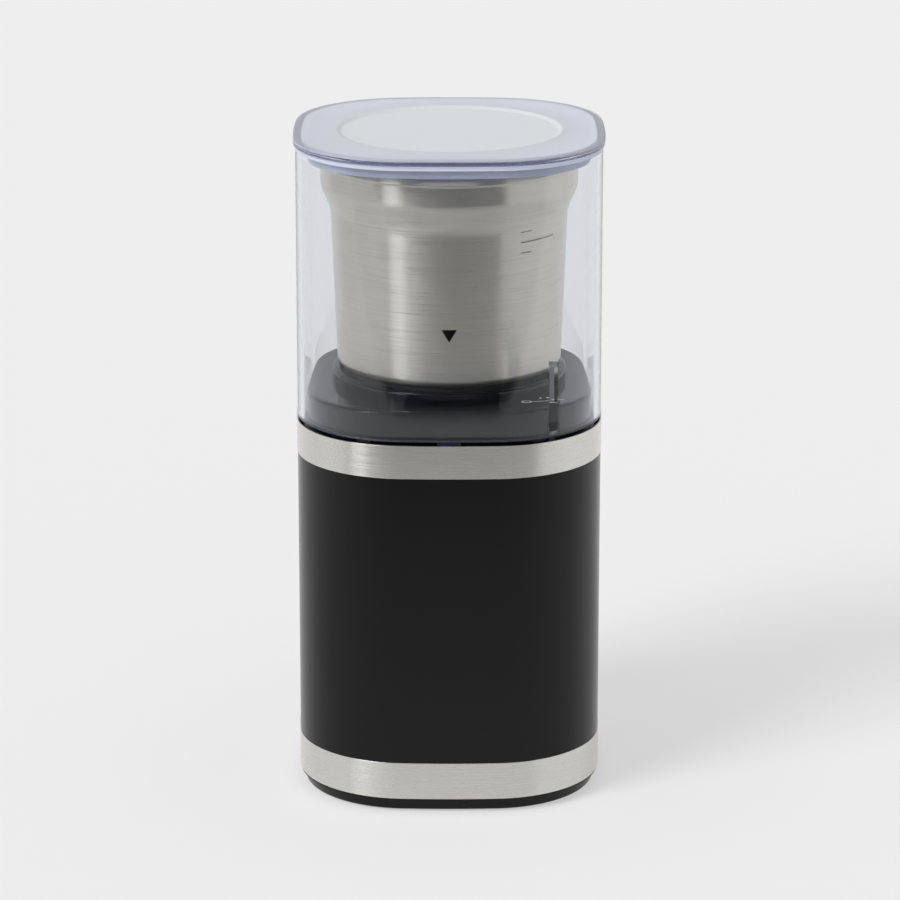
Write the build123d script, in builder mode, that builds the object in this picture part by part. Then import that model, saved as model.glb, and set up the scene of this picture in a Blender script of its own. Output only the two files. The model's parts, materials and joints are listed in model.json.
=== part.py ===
from build123d import *
import math
import os

os.makedirs("parts", exist_ok=True)

# Electric spice grinder: a motor base with a lift-out steel bowl under a clear hood.
# Millimetres, +Z up, origin on the standing surface at the centre of the body.
# The front of the grinder faces -Y.

# ---------------------------------------------------------------- driving dimensions

# Plan outline: four slightly bulged faces with wide round corners
half_width = 52.5
face_radius = 300.0
corner_radius = 38.0

# Stack of the body, from the standing surface up
foot_stand = 0.6
plinth_height = 4.6
low_band_height = 13.0
shell_height = 101.3
high_band_height = 11.5
hood_gap = 1.2
lid_thickness = 2.0

# Walls
band_wall = 0.6
shell_wall = 2.4
hood_wall = 2.2
cup_wall = 0.8
deck_wall = 2.2
base_wall = 2.0

# Insets of the outlines from the widest line, and clearances between pieces
shell_inset = 0.2
hood_inset = 0.2
lid_overhang = 0.5
plinth_inset = 1.0
plinth_draft = 1.2
plinth_lip = 0.8
plinth_lip_inset = 0.3
fit_gap = 0.1
slip_gap = 0.3
hood_clearance = 1.0

# Deck: the raised platform that carries the bowl
platform_height = 11.0
bead_height = 4.3
bead_width = 3.4
bead_round = 1.5
deck_flange = 2.3
platform_round = 1.2

# Bowl
cup_gap = 0.9
cup_height = 73.3
bowl_clearance = 5.6
rim_height = 8.3
lip_height = 2.2
lip_proud = 0.4
lip_round = 0.5
shoulder_round = 8.0
shoulder_step = 3.6
waist_height = 7.8
waist_round = 14.0
side_taper = 2.2
foot_round = 3.0

# Bowl base and the bayonet socket that it stands in
base_height = 14.7
foot_overhang = 1.8
base_ring_wall = 2.4
socket_clearance = 0.4
lug_reach = 1.3
lug_height = 3.0
lug_lift = 1.5
lug_angle = 16.0
lug_count = 3
lug_start = 30.0
entry_margin = 4.0
seat_ledge = 4.5
pit_depth = 4.5
shaft_hole = 7.0
shaft_collar = 9.0
shaft_collar_rise = 0.6
rib_count = 6
rib_wall = 1.6
rib_start = 14.5
base_plate = 3.2
base_rib = 6.0

# Blade and its bearing
blade_clearance = 4.9
blade_width = 11.0
blade_thickness = 1.5
blade_lift = 7.7
tip_length = 9.0
tip_rise = 7.0
tip_drop = 3.0
blade_shaft_radius = 3.0
bush_radius = 6.0
running_gap = 0.04
hub_radius = 10.0
hub_flange_radius = 15.0
hub_flange = 1.6
hub_neck_radius = 9.0
hub_rise = 5.0
hub_drop = 4.5
shaft_seal_height = 2.6
nut_height = 3.6
nut_flats = 24.0
blade_nut_height = 3.6
blade_nut_flats = 10.0
coupling_radius = 11.0
coupling_height = 7.6
coupling_lift = 1.0
coupling_floor = 2.4
coupling_hub = 6.5
star_radius = 8.2
star_waist = 5.4
star_tooth = 3.6
star_height = 4.6
mesh_gap = 0.3

# Lid
collar_height = 4.0
collar_clearance = 1.4
collar_overhang = 0.9
collar_wall = 1.8
seal_height = 1.9
seal_play = 0.2
spigot_depth = 2.5
spigot_wall = 1.6
spigot_gap = 0.7
seal_bevel = 0.45
recess_margin = 6.2
recess_depth = 0.8
lid_round = 0.8
tab_width = 8.0
tab_depth = 2.2
tab_step = 0.7
tab_reach = 12.0
lid_travel = 1.0

# Safety interlock: a tongue in the hood, a sprung plunger and a small snap switch
interlock_angle = -47.0
interlock_inset = 7.35
tongue_wall = 2.8
tongue_length = 22.0
tongue_lift = 1.8
tongue_reach = 1.7
tongue_bite = 0.8
notch_gap = 0.7
notch_wall = 1.6
plunger_radius = 1.8
plunger_gap = 0.1
collar_radius = 3.1
plunger_collar = 2.0
guide_wall = 1.0
spring_wire = 0.35
spring_turns = 5
switch_length = 20.0
switch_width = 6.4
switch_height = 10.0
switch_drop = 11.6
switch_shift = 1.0
button_radius = 1.3
button_stand = 1.4
button_depth = 2.6
switch_tab_wall = 1.7
switch_screw_pitch = 14.0
switch_screw_radius = 1.1
terminal_pitch = 7.0
terminal_width = 3.2
terminal_thickness = 0.6
terminal_length = 4.5

# Motor, a two-pole universal motor with its shaft on the centre line
shaft_radius = 4.0
shaft_end = 3.0
stator_half_x = 29.0
stator_half_y = 27.0
yoke_wall = 5.0
stator_height = 32.0
fan_room = 17.3
bore_radius = 17.0
shoe_wall = 3.0
shoe_angle = 120.0
pole_half_width = 10.0
coil_width = 6.6
coil_depth = 3.8
coil_end_gap = 1.0
air_gap = 0.5
slot_count = 12
slot_width = 3.2
slot_depth = 5.5
slot_lip = 1.2
winding_radius = 14.2
winding_height = 7.0
winding_bevel = 2.0
commutator_radius = 9.0
commutator_height = 13.0
commutator_drop = 21.5
bar_count = 12
brush_width = 5.0
brush_height = 8.0
brush_length = 11.0
holder_wall = 1.2
holder_length = 21.0
bracket_plate = 4.0
damper_height = 2.5
damper_radius = 5.0
damper_drop = 6.0
ear_margin = 3.0
ear_boss_radius = 4.7
bearing_radius = 9.5
bearing_height = 7.0
bearing_lip = 1.0
bearing_wall = 2.5
bracket_drop = 34.0
fan_radius = 24.0
fan_height = 7.8
fan_blades = 11
fan_gap = 0.9
through_screw_radius = 1.9
post_radius = 4.2
pad_centre = 21.5
pad_length = 11.0
pad_width = 9.0
pad_reach = 27.0
arm_width = 7.0

# Fasteners
screw_radius = 1.4
screw_clearance = 0.3
screw_head_radius = 2.8
screw_head_height = 2.2
screw_seat = 4.0
boss_radius = 3.9
boss_rib = 2.2
boss_bite = 0.5
deck_post_radius = 3.5
column_radius = 4.2
post_inset = 7.9
post_offset = 7.9
lug_shelf = 4.0
deck_post_length = 20.0
base_boss_length = 16.0
base_column_height = 19.0
base_spigot_rise = 8.0

# Feet, vents and the cord inlet
foot_radius_rubber = 6.0
foot_thickness = 1.6
foot_offset = 18.9
vent_count = 9
vent_width = 2.4
vent_length = 34.0
vent_pitch = 5.0
inlet_z = 27.0
inlet_radius = 5.6
inlet_bore = 3.3
inlet_flange_radius = 7.4
inlet_flange = 0.6
inlet_length = 9.0

# ---------------------------------------------------------------- levels worked out

plinth_z = foot_stand
low_band_z = plinth_z + plinth_height
shell_z = low_band_z + low_band_height
high_band_z = shell_z + shell_height
body_top_z = high_band_z + high_band_height
hood_z = body_top_z + hood_gap

platform_z = body_top_z + platform_height
bead_top_z = platform_z + bead_height
cup_z = bead_top_z + cup_gap
cup_top_z = cup_z + cup_height
seat_z = cup_z - base_height
pit_z = seat_z - pit_depth
collar_z = cup_top_z + seal_height
hood_top_z = collar_z + collar_height
lid_top_z = hood_top_z + lid_thickness

flange_top_z = body_top_z - fit_gap
flange_z = flange_top_z - deck_flange

step_inset = band_wall + fit_gap
inner_inset = shell_inset + shell_wall
hood_inner_inset = hood_inset + hood_wall
platform_inset = hood_inner_inset + hood_clearance

# Centre of each round corner, and what is placed from it
face_shift = face_radius - half_width
corner_reach = face_radius - corner_radius
corner_centre = (math.sqrt(2 * corner_reach**2 - face_shift**2) - face_shift) / 2
post_x = corner_centre + corner_radius - post_inset
post_y = corner_centre + post_offset
foot_spread = corner_centre + foot_offset

# Round pieces, worked inwards from the hood's wall
collar_top_radius = half_width - hood_inner_inset - collar_clearance
rim_radius = half_width - hood_inner_inset - bowl_clearance
collar_low_radius = rim_radius + lip_proud + collar_overhang
recess_radius = rim_radius - recess_margin
waist_radius = rim_radius - shoulder_step
foot_radius = waist_radius - side_taper
blade_radius = foot_radius - cup_wall - blade_clearance
base_radius = foot_radius - foot_overhang
pit_radius = base_radius - base_ring_wall - seat_ledge
ear_radius = pit_radius + deck_wall + ear_margin

socket_radius = base_radius + socket_clearance
groove_radius = base_radius + lug_reach + socket_clearance
bead_radius = socket_radius + bead_width

interlock_cos = math.cos(math.radians(interlock_angle))
interlock_sin = math.sin(math.radians(interlock_angle))
corner_along = corner_centre * (abs(interlock_cos) + abs(interlock_sin))
corner_beyond = math.sqrt(corner_radius**2 - 2 * corner_centre**2 + corner_along**2)
interlock_radius = corner_along + corner_beyond - interlock_inset
interlock_x = interlock_radius * interlock_cos
interlock_y = interlock_radius * interlock_sin
tongue_end_y = interlock_y + tongue_reach
notch_end_y = tongue_end_y + notch_gap
notch_back_y = notch_end_y + notch_wall

tongue_z = hood_z + tongue_lift
plunger_top_z = tongue_z - plunger_gap
plunger_collar_top_z = flange_z - plunger_gap
plunger_collar_z = plunger_collar_top_z - plunger_collar
switch_top_z = flange_z - switch_drop
switch_z = switch_top_z - switch_height
button_top_z = switch_top_z + button_stand
plunger_z = button_top_z + plunger_gap

damper_top_z = pit_z - deck_wall - damper_drop
ear_top_z = damper_top_z - damper_height
ear_z = ear_top_z - bracket_plate
fan_z = ear_z - fan_gap - fan_height
stator_top_z = ear_z - fan_room
stator_bottom_z = stator_top_z - stator_height
lower_bracket_z = stator_bottom_z - bracket_drop
commutator_z = stator_bottom_z - commutator_drop
shaft_bottom_z = lower_bracket_z - shaft_end
coupling_z = pit_z + coupling_lift
coupling_top_z = coupling_z + coupling_height
shaft_top_z = coupling_z + coupling_floor
star_z = shaft_top_z + mesh_gap
star_top_z = star_z + star_height
cup_floor_z = cup_z + cup_wall
hub_top_z = cup_floor_z + hub_flange
hub_end_z = hub_top_z + hub_rise
hub_bottom_z = cup_z - base_plate - hub_drop
blade_z = cup_floor_z + blade_lift
blade_mid_z = blade_z + blade_thickness / 2
blade_nut_z = blade_z + blade_thickness

spigot_radius = rim_radius - cup_wall - spigot_gap
seal_inner = spigot_radius + seal_play
seal_outer = collar_low_radius - seal_play

post_points = [(x, y) for x in (-post_x, post_x) for y in (-post_y, post_y)]
foot_points = [(x, y) for x in (-foot_spread, foot_spread) for y in (-foot_spread, foot_spread)]
ear_points = [(ear_radius, 0), (0, ear_radius), (-ear_radius, 0), (0, -ear_radius)]
through_x = stator_half_x - yoke_wall + 1.2
through_y = stator_half_y - yoke_wall + 1.2
through_points = [(through_x, through_y), (-through_x, -through_y)]


# ---------------------------------------------------------------- shared shapes


def plan(inset):
    """The grinder's rounded-square outline, drawn in from its widest line by inset."""
    radius = face_radius - inset
    with BuildSketch(mode=Mode.PRIVATE) as outline:
        with Locations((0, -face_shift)):
            Circle(radius)
        for centre in ((0, face_shift), (-face_shift, 0), (face_shift, 0)):
            with Locations(centre):
                Circle(radius, mode=Mode.INTERSECT)
        fillet(outline.vertices(), corner_radius - inset)
    return outline.sketch


def prism(inset, bottom, top, mode=Mode.ADD):
    """Adds or cuts the plan outline between two levels."""
    with BuildSketch(Plane.XY.offset(bottom)) as outline:
        add(plan(inset))
    extrude(outline.sketch, amount=top - bottom, mode=mode)


def frame_ring(outer, inner, bottom, top):
    """Adds a wall that follows the plan outline."""
    with BuildSketch(Plane.XY.offset(bottom)) as wall:
        add(plan(outer))
        add(plan(inner), mode=Mode.SUBTRACT)
    extrude(wall.sketch, amount=top - bottom)


def rod(radius, bottom, top, points=((0, 0),), mode=Mode.ADD):
    """Adds or cuts an upright cylinder at each of the points."""
    with BuildSketch(Plane.XY.offset(bottom)) as discs:
        with Locations(*points):
            Circle(radius)
    extrude(discs.sketch, amount=top - bottom, mode=mode)


def tube(outer, inner, bottom, top, points=((0, 0),)):
    """Adds an upright tube at each of the points."""
    with BuildSketch(Plane.XY.offset(bottom)) as rings:
        with Locations(*points):
            Circle(outer)
            Circle(inner, mode=Mode.SUBTRACT)
    extrude(rings.sketch, amount=top - bottom)


def spun(points, mode=Mode.ADD):
    """Revolves a closed half-section, given as radius and height, about the centre line."""
    with BuildSketch(Plane.XZ) as half_section:
        with BuildLine():
            Polyline(*points, close=True)
        make_face()
    revolve(half_section.sketch, axis=Axis.Z, mode=mode)


def pan_screws(points, head_z, shank_top_z, radius=screw_radius):
    """Adds pan-head screws with the head below and the shank pointing up."""
    rod(screw_head_radius, head_z - screw_head_height, head_z, points)
    rod(radius, head_z, shank_top_z, points)


def star(clearance):
    """A coupling outline: a round core with six rounded teeth, grown by a clearance."""
    with BuildSketch(mode=Mode.PRIVATE) as outline:
        Circle(star_waist + clearance)
        with PolarLocations(0, 3, angular_range=180, endpoint=False):
            SlotOverall(2 * (star_radius + clearance), star_tooth + 2 * clearance)
    return outline.sketch


def sector(radius, angle):
    """A slice of a disc about the +X direction."""
    with BuildSketch(mode=Mode.PRIVATE) as slice_outline:
        with BuildLine():
            rim = CenterArc((0, 0), radius, -angle / 2, angle)
            Line(rim @ 1, (0, 0))
            Line((0, 0), rim @ 0)
        make_face()
    return slice_outline.sketch


interlock_plane = Plane(
    origin=(interlock_x, interlock_y, 0),
    x_dir=(-interlock_sin, interlock_cos, 0),
    z_dir=(0, 0, 1),
)


def interlock_level(height):
    """A level plane at the interlock, local x along the wall and local y inwards."""
    return interlock_plane.offset(height)


def switch_screw_plane(side, level_y):
    """Plane across one of the switch's screws, facing outwards, at a local y."""
    centre = (switch_shift + side * switch_screw_pitch / 2, level_y, switch_z + switch_height / 2)
    return Plane(
        origin=interlock_plane.from_local_coords(centre),
        x_dir=(0, 0, 1),
        z_dir=-interlock_plane.y_dir,
    )


# ---------------------------------------------------------------- base

# Bottom cover: plinth wall, floor with vents, screw columns and a spigot in the shell
with BuildPart() as base_cover:
    with BuildSketch(Plane.XY.offset(low_band_z)):
        add(plan(plinth_inset))
    with BuildSketch(Plane.XY.offset(plinth_z)):
        add(plan(plinth_inset + plinth_draft))
    loft()
    fillet(base_cover.edges().group_by(Axis.Z)[0], 0.9)
    prism(plinth_lip_inset, low_band_z - plinth_lip, low_band_z)
    prism(plinth_inset + plinth_draft + base_wall, plinth_z + base_wall, low_band_z, Mode.SUBTRACT)
    spigot_inset = inner_inset + slip_gap
    spigot_top_z = low_band_z + base_spigot_rise
    frame_ring(spigot_inset, spigot_inset + base_wall, plinth_z + base_wall, spigot_top_z)
    rod(column_radius, plinth_z + base_wall, base_column_height, post_points)
    head_seat_z = base_column_height - screw_seat
    rod(screw_head_radius + screw_clearance, plinth_z, head_seat_z, post_points, Mode.SUBTRACT)
    rod(screw_radius + screw_clearance, plinth_z, base_column_height, post_points, Mode.SUBTRACT)
    rod(foot_radius_rubber, plinth_z - foot_stand, foot_thickness, foot_points, Mode.SUBTRACT)
    with BuildSketch(Plane.XY.offset(plinth_z)):
        with GridLocations(vent_pitch, 0, vent_count, 1):
            SlotOverall(vent_length, vent_width, rotation=90)
    extrude(amount=base_wall, mode=Mode.SUBTRACT)
base_cover.part.label = "base_cover"
export_step(base_cover.part, "parts/base_cover.step")

# Four rubber feet pressed into the cover's recesses
with BuildPart() as feet:
    rod(foot_radius_rubber, 0, foot_thickness, foot_points)
    chamfer(feet.edges().group_by(Axis.Z)[0], 0.3)
feet.part.label = "feet"
export_step(feet.part, "parts/feet.step")

# Screws that hold the bottom cover to the shell
with BuildPart() as base_screws:
    pan_screws(post_points, head_seat_z, base_column_height + base_boss_length - screw_radius)
base_screws.part.label = "base_screws"
export_step(base_screws.part, "parts/base_screws.step")

# ---------------------------------------------------------------- body

with BuildPart() as lower_band:
    frame_ring(0, band_wall, low_band_z, shell_z)
lower_band.part.label = "lower_band"
export_step(lower_band.part, "parts/lower_band.step")

with BuildPart() as upper_band:
    frame_ring(0, band_wall, high_band_z, body_top_z)
upper_band.part.label = "upper_band"
export_step(upper_band.part, "parts/upper_band.step")

# Body shell: full-height wall with a step at each band, screw bosses and the inlet hole
with BuildPart() as body_shell:
    prism(step_inset, low_band_z, shell_z)
    prism(shell_inset, shell_z, high_band_z)
    prism(step_inset, high_band_z, flange_z)
    prism(inner_inset, low_band_z, flange_z, Mode.SUBTRACT)
    shelf_z = flange_z - deck_post_length - lug_shelf
    with BuildSketch(Plane.XY.offset(base_column_height)):
        with Locations(*post_points):
            Circle(boss_radius)
        for side in (-1, 1):
            with Locations((side * (post_x + boss_radius), -post_y), (side * (post_x + boss_radius), post_y)):
                Rectangle(2 * boss_radius, boss_rib)
        add(plan(inner_inset - boss_bite), mode=Mode.INTERSECT)
    extrude(amount=base_boss_length)
    with BuildSketch(Plane.XY.offset(shelf_z)):
        with Locations(*post_points):
            Circle(boss_radius)
        for side in (-1, 1):
            with Locations((side * (post_x + boss_radius), -post_y), (side * (post_x + boss_radius), post_y)):
                Rectangle(2 * boss_radius, 2 * deck_post_radius)
        add(plan(inner_inset - boss_bite), mode=Mode.INTERSECT)
    extrude(amount=lug_shelf)
    rod(screw_radius, base_column_height, base_column_height + base_boss_length, post_points, Mode.SUBTRACT)
    rod(screw_radius + screw_clearance, shelf_z, shelf_z + lug_shelf, post_points, Mode.SUBTRACT)
    with BuildSketch(Plane.XZ.offset(-half_width)):
        with Locations((0, inlet_z)):
            Circle(inlet_radius)
    extrude(amount=2 * shell_wall + 2, both=True, mode=Mode.SUBTRACT)
body_shell.part.label = "body_shell"
export_step(body_shell.part, "parts/body_shell.step")

# Inlet bush for the mains lead, at the back just above the lower band
with BuildPart() as cord_gland:
    inlet_face_y = half_width - shell_inset
    with BuildSketch(Plane.XZ.offset(-inlet_face_y - inlet_flange)):
        with Locations((0, inlet_z)):
            Circle(inlet_flange_radius)
    extrude(amount=inlet_flange)
    with BuildSketch(Plane.XZ.offset(-inlet_face_y)):
        with Locations((0, inlet_z)):
            Circle(inlet_radius - fit_gap)
    extrude(amount=inlet_length - inlet_flange)
    with BuildSketch(Plane.XZ.offset(-inlet_face_y - inlet_flange)):
        with Locations((0, inlet_z)):
            Circle(inlet_bore)
    extrude(amount=inlet_length, mode=Mode.SUBTRACT)
cord_gland.part.label = "cord_gland"
export_step(cord_gland.part, "parts/cord_gland.step")

# ---------------------------------------------------------------- deck

# Deck: flange on the shell, raised platform, bayonet socket with its bead, drive pit
with BuildPart() as top_deck:
    prism(step_inset + fit_gap, flange_z, flange_top_z)
    prism(platform_inset, flange_z, platform_z)
    fillet(top_deck.edges().group_by(Axis.Z)[-1], platform_round)
    prism(platform_inset + deck_wall, flange_z, platform_z - deck_wall, Mode.SUBTRACT)
    # Socket well, with the seat ring and the drive pit below it
    spun(
        [
            (0, pit_z - deck_wall),
            (pit_radius + deck_wall, pit_z - deck_wall),
            (pit_radius + deck_wall, seat_z - deck_wall),
            (groove_radius + deck_wall, seat_z - deck_wall),
            (groove_radius + deck_wall, platform_z - deck_wall / 2),
            (0, platform_z - deck_wall / 2),
        ]
    )
    tube(bead_radius, socket_radius, platform_z - deck_wall / 2, bead_top_z)
    fillet(top_deck.edges().group_by(Axis.Z)[-1], bead_round)
    rod(socket_radius, seat_z, bead_top_z, mode=Mode.SUBTRACT)
    groove_top_z = seat_z + lug_lift + lug_height + 1.0
    rod(groove_radius, seat_z, groove_top_z, mode=Mode.SUBTRACT)
    rod(pit_radius, pit_z, seat_z, mode=Mode.SUBTRACT)
    # Entry slots for the bowl's bayonet lugs
    with BuildSketch(Plane.XY.offset(groove_top_z)):
        with PolarLocations(0, lug_count, start_angle=lug_start):
            add(sector(groove_radius, lug_angle + entry_margin))
    extrude(amount=bead_top_z - groove_top_z, mode=Mode.SUBTRACT)
    # Shaft hole with a raised collar against spilt powder
    shaft_collar_z = pit_z + shaft_collar_rise
    tube(shaft_collar, shaft_hole, pit_z - deck_wall, shaft_collar_z)
    rod(shaft_hole, pit_z - deck_wall, shaft_collar_z, mode=Mode.SUBTRACT)
    # Bosses for the motor and posts for the shell
    tube(ear_boss_radius, screw_radius, damper_top_z, seat_z - deck_wall, ear_points)
    tube(deck_post_radius, screw_radius, flange_z - deck_post_length, flange_z + deck_flange / 2, post_points)
    # Front slot for the hood's tab
    with BuildSketch(Plane.XY.offset(flange_z)):
        with Locations((0, -half_width)):
            Rectangle(tab_width + 2 * slip_gap, tab_reach)
        add(plan(hood_inner_inset + slip_gap), mode=Mode.SUBTRACT)
    extrude(amount=deck_flange, mode=Mode.SUBTRACT)
    # Walled notch for the hood's tongue, and the plunger's guide below it
    with BuildSketch(Plane.XY.offset(flange_z)):
        with Locations((interlock_x, (notch_back_y - half_width) / 2)):
            Rectangle(tongue_wall + 2 * notch_gap + 2 * notch_wall, half_width + notch_back_y)
        add(plan(platform_inset + deck_wall / 2), mode=Mode.INTERSECT)
    extrude(amount=platform_height + deck_flange - deck_wall / 2)
    with BuildSketch(Plane.XY.offset(flange_top_z)):
        with Locations((interlock_x, (notch_end_y - half_width) / 2)):
            Rectangle(tongue_wall + 2 * notch_gap, half_width + notch_end_y)
    extrude(amount=platform_height + 1.0, mode=Mode.SUBTRACT)
    with BuildSketch(interlock_level(flange_z)):
        Circle(collar_radius + slip_gap + guide_wall)
    extrude(amount=deck_flange)
    with BuildSketch(interlock_level(plunger_z + 1.0)):
        Circle(collar_radius + slip_gap + guide_wall)
        Circle(collar_radius + slip_gap, mode=Mode.SUBTRACT)
    extrude(amount=flange_z - plunger_z - 1.0)
    with BuildSketch(interlock_level(flange_z)):
        Circle(plunger_radius + fit_gap)
    extrude(amount=deck_flange, mode=Mode.SUBTRACT)
    # Tab that the snap switch is screwed to
    tab_y = switch_width / 2 + switch_tab_wall / 2
    with BuildSketch(interlock_level(switch_z)):
        with Locations((switch_shift, tab_y)):
            Rectangle(switch_length, switch_tab_wall)
    extrude(amount=flange_z + deck_flange - switch_z)
    for side in (-1, 1):
        with BuildSketch(switch_screw_plane(side, switch_width / 2 + switch_tab_wall)):
            Circle(switch_screw_radius + fit_gap)
        extrude(amount=switch_tab_wall, mode=Mode.SUBTRACT)
top_deck.part.label = "top_deck"
export_step(top_deck.part, "parts/top_deck.step")

# Screws from below through the shell's lugs into the deck's posts
with BuildPart() as deck_screws:
    pan_screws(post_points, shelf_z, shelf_z + lug_shelf + deck_post_length / 2)
deck_screws.part.label = "deck_screws"
export_step(deck_screws.part, "parts/deck_screws.step")

# ---------------------------------------------------------------- safety interlock

# Plunger with a stop collar: the hood's tongue pushes its tip, its foot pushes the switch
with BuildPart() as interlock_plunger:
    with BuildSketch(interlock_level(plunger_z)):
        Circle(plunger_radius)
    extrude(amount=plunger_top_z - plunger_z)
    fillet(interlock_plunger.edges().group_by(Axis.Z)[-1], 0.6)
    with BuildSketch(interlock_level(plunger_collar_z)):
        Circle(collar_radius)
    extrude(amount=plunger_collar)
interlock_plunger.part.label = "interlock_plunger"
export_step(interlock_plunger.part, "parts/interlock_plunger.step")

# Return spring between the switch and the plunger's collar
with BuildPart() as plunger_spring:
    coil_radius = collar_radius - spring_wire
    coil_length = plunger_collar_z - switch_top_z - 2 * spring_wire - fit_gap
    with BuildLine(interlock_level(switch_top_z + spring_wire)) as coil_path:
        Helix(coil_length / spring_turns, coil_length, coil_radius)
    with BuildSketch(Plane(coil_path.line @ 0, z_dir=coil_path.line % 0)):
        RegularPolygon(spring_wire, 6)
    sweep(is_frenet=True)
plunger_spring.part.label = "plunger_spring"
export_step(plunger_spring.part, "parts/plunger_spring.step")

# Snap switch that only closes while the hood is held down
with BuildPart() as microswitch_body:
    with BuildSketch(interlock_level(switch_z)):
        with Locations((switch_shift, 0)):
            Rectangle(switch_length, switch_width)
    extrude(amount=switch_height)
    fillet(microswitch_body.edges().filter_by(Axis.Z), 0.5)
    with BuildSketch(interlock_level(switch_top_z)):
        Circle(button_radius + fit_gap)
    extrude(amount=-button_depth - lid_travel, mode=Mode.SUBTRACT)
    for side in (-1, 1):
        with BuildSketch(switch_screw_plane(side, switch_width / 2)):
            Circle(switch_screw_radius)
        extrude(amount=switch_width, mode=Mode.SUBTRACT)
microswitch_body.part.label = "microswitch_body"
export_step(microswitch_body.part, "parts/microswitch_body.step")

with BuildPart() as microswitch_button:
    with BuildSketch(interlock_level(switch_top_z - button_depth)):
        Circle(button_radius)
    extrude(amount=button_depth + button_stand)
    fillet(microswitch_button.edges().group_by(Axis.Z)[-1], 0.5)
microswitch_button.part.label = "microswitch_button"
export_step(microswitch_button.part, "parts/microswitch_button.step")

with BuildPart() as switch_terminals:
    with BuildSketch(interlock_level(switch_z)):
        with Locations(*[(switch_shift + step * terminal_pitch, 0) for step in (-1, 0, 1)]):
            Rectangle(terminal_width, terminal_thickness)
    extrude(amount=-terminal_length)
switch_terminals.part.label = "switch_terminals"
export_step(switch_terminals.part, "parts/switch_terminals.step")

# Two small screws through the deck's tab into the switch
with BuildPart() as switch_screws:
    for side in (-1, 1):
        with BuildSketch(switch_screw_plane(side, switch_width / 2 + switch_tab_wall)):
            Circle(switch_screw_radius)
        extrude(amount=switch_tab_wall + switch_width - 1.0)
        with BuildSketch(switch_screw_plane(side, switch_width / 2 + switch_tab_wall)):
            Circle(2 * switch_screw_radius)
        extrude(amount=-switch_screw_radius)
switch_screws.part.label = "switch_screws"
export_step(switch_screws.part, "parts/switch_screws.step")

# ---------------------------------------------------------------- motor, fixed part

# Two-pole laminated core: yoke, pole bodies and curved pole shoes round the bore
with BuildPart() as stator_core:
    with BuildSketch(Plane.XY.offset(stator_bottom_z)):
        RectangleRounded(2 * stator_half_x, 2 * stator_half_y, 6.0)
        window_x = 2 * (stator_half_x - yoke_wall)
        window_y = 2 * (stator_half_y - yoke_wall)
        RectangleRounded(window_x, window_y, 4.0, mode=Mode.SUBTRACT)
        Rectangle(2 * pole_half_width, window_y)
        with PolarLocations(0, 2, start_angle=90):
            add(sector(bore_radius + shoe_wall, shoe_angle))
        Circle(bore_radius, mode=Mode.SUBTRACT)
        with Locations(*through_points):
            Circle(through_screw_radius + fit_gap, mode=Mode.SUBTRACT)
    extrude(amount=stator_height)
stator_core.part.label = "stator_core"
export_step(stator_core.part, "parts/stator_core.step")

# Field coils: one racetrack winding round each pole
with BuildPart() as field_coils:
    inner_width = 2 * (pole_half_width + 2 * slip_gap)
    inner_length = stator_height + 2 * coil_end_gap
    for side in (-1, 1):
        coil_face_y = side * (stator_half_y - yoke_wall - slip_gap)
        coil_centre = (0, coil_face_y, stator_bottom_z + stator_height / 2)
        with BuildSketch(Plane(origin=coil_centre, x_dir=(1, 0, 0), z_dir=(0, -side, 0))):
            RectangleRounded(inner_width + 2 * coil_width, inner_length + 2 * coil_width, 7.0)
            RectangleRounded(inner_width, inner_length, 2.0, mode=Mode.SUBTRACT)
        extrude(amount=coil_depth)
field_coils.part.label = "field_coils"
export_step(field_coils.part, "parts/field_coils.step")

# Lower bracket: bearing seat, arms, posts up to the core and pads for the brush holders
with BuildPart() as lower_bracket:
    with BuildSketch(Plane.XY.offset(lower_bracket_z)):
        Circle(bearing_radius + bearing_wall)
        with Locations(*through_points):
            Circle(post_radius)
        Rectangle(2 * pad_reach, pad_width)
        arm_length = 2 * math.hypot(through_x, through_y)
        Rectangle(arm_length, arm_width, rotation=math.degrees(math.atan2(through_y, through_x)))
    extrude(amount=bracket_plate)
    lower_seat_z = lower_bracket_z + bearing_lip
    rod(bearing_radius + bearing_wall, lower_bracket_z, lower_seat_z + bearing_height)
    rod(post_radius, lower_bracket_z, stator_bottom_z, through_points)
    holder_z = commutator_z + commutator_height / 2 - brush_height / 2 - holder_wall - fit_gap
    with BuildSketch(Plane.XY.offset(lower_bracket_z)):
        with Locations((-pad_centre, 0), (pad_centre, 0)):
            RectangleRounded(pad_length, pad_width, 1.0)
    extrude(amount=holder_z - lower_bracket_z)
    rod(shaft_radius + bearing_lip, lower_bracket_z, lower_seat_z + bearing_height, mode=Mode.SUBTRACT)
    rod(bearing_radius, lower_seat_z, lower_seat_z + bearing_height, mode=Mode.SUBTRACT)
    rod(through_screw_radius + fit_gap, lower_bracket_z, stator_bottom_z, through_points, Mode.SUBTRACT)
lower_bracket.part.label = "lower_bracket"
export_step(lower_bracket.part, "parts/lower_bracket.step")

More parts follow.
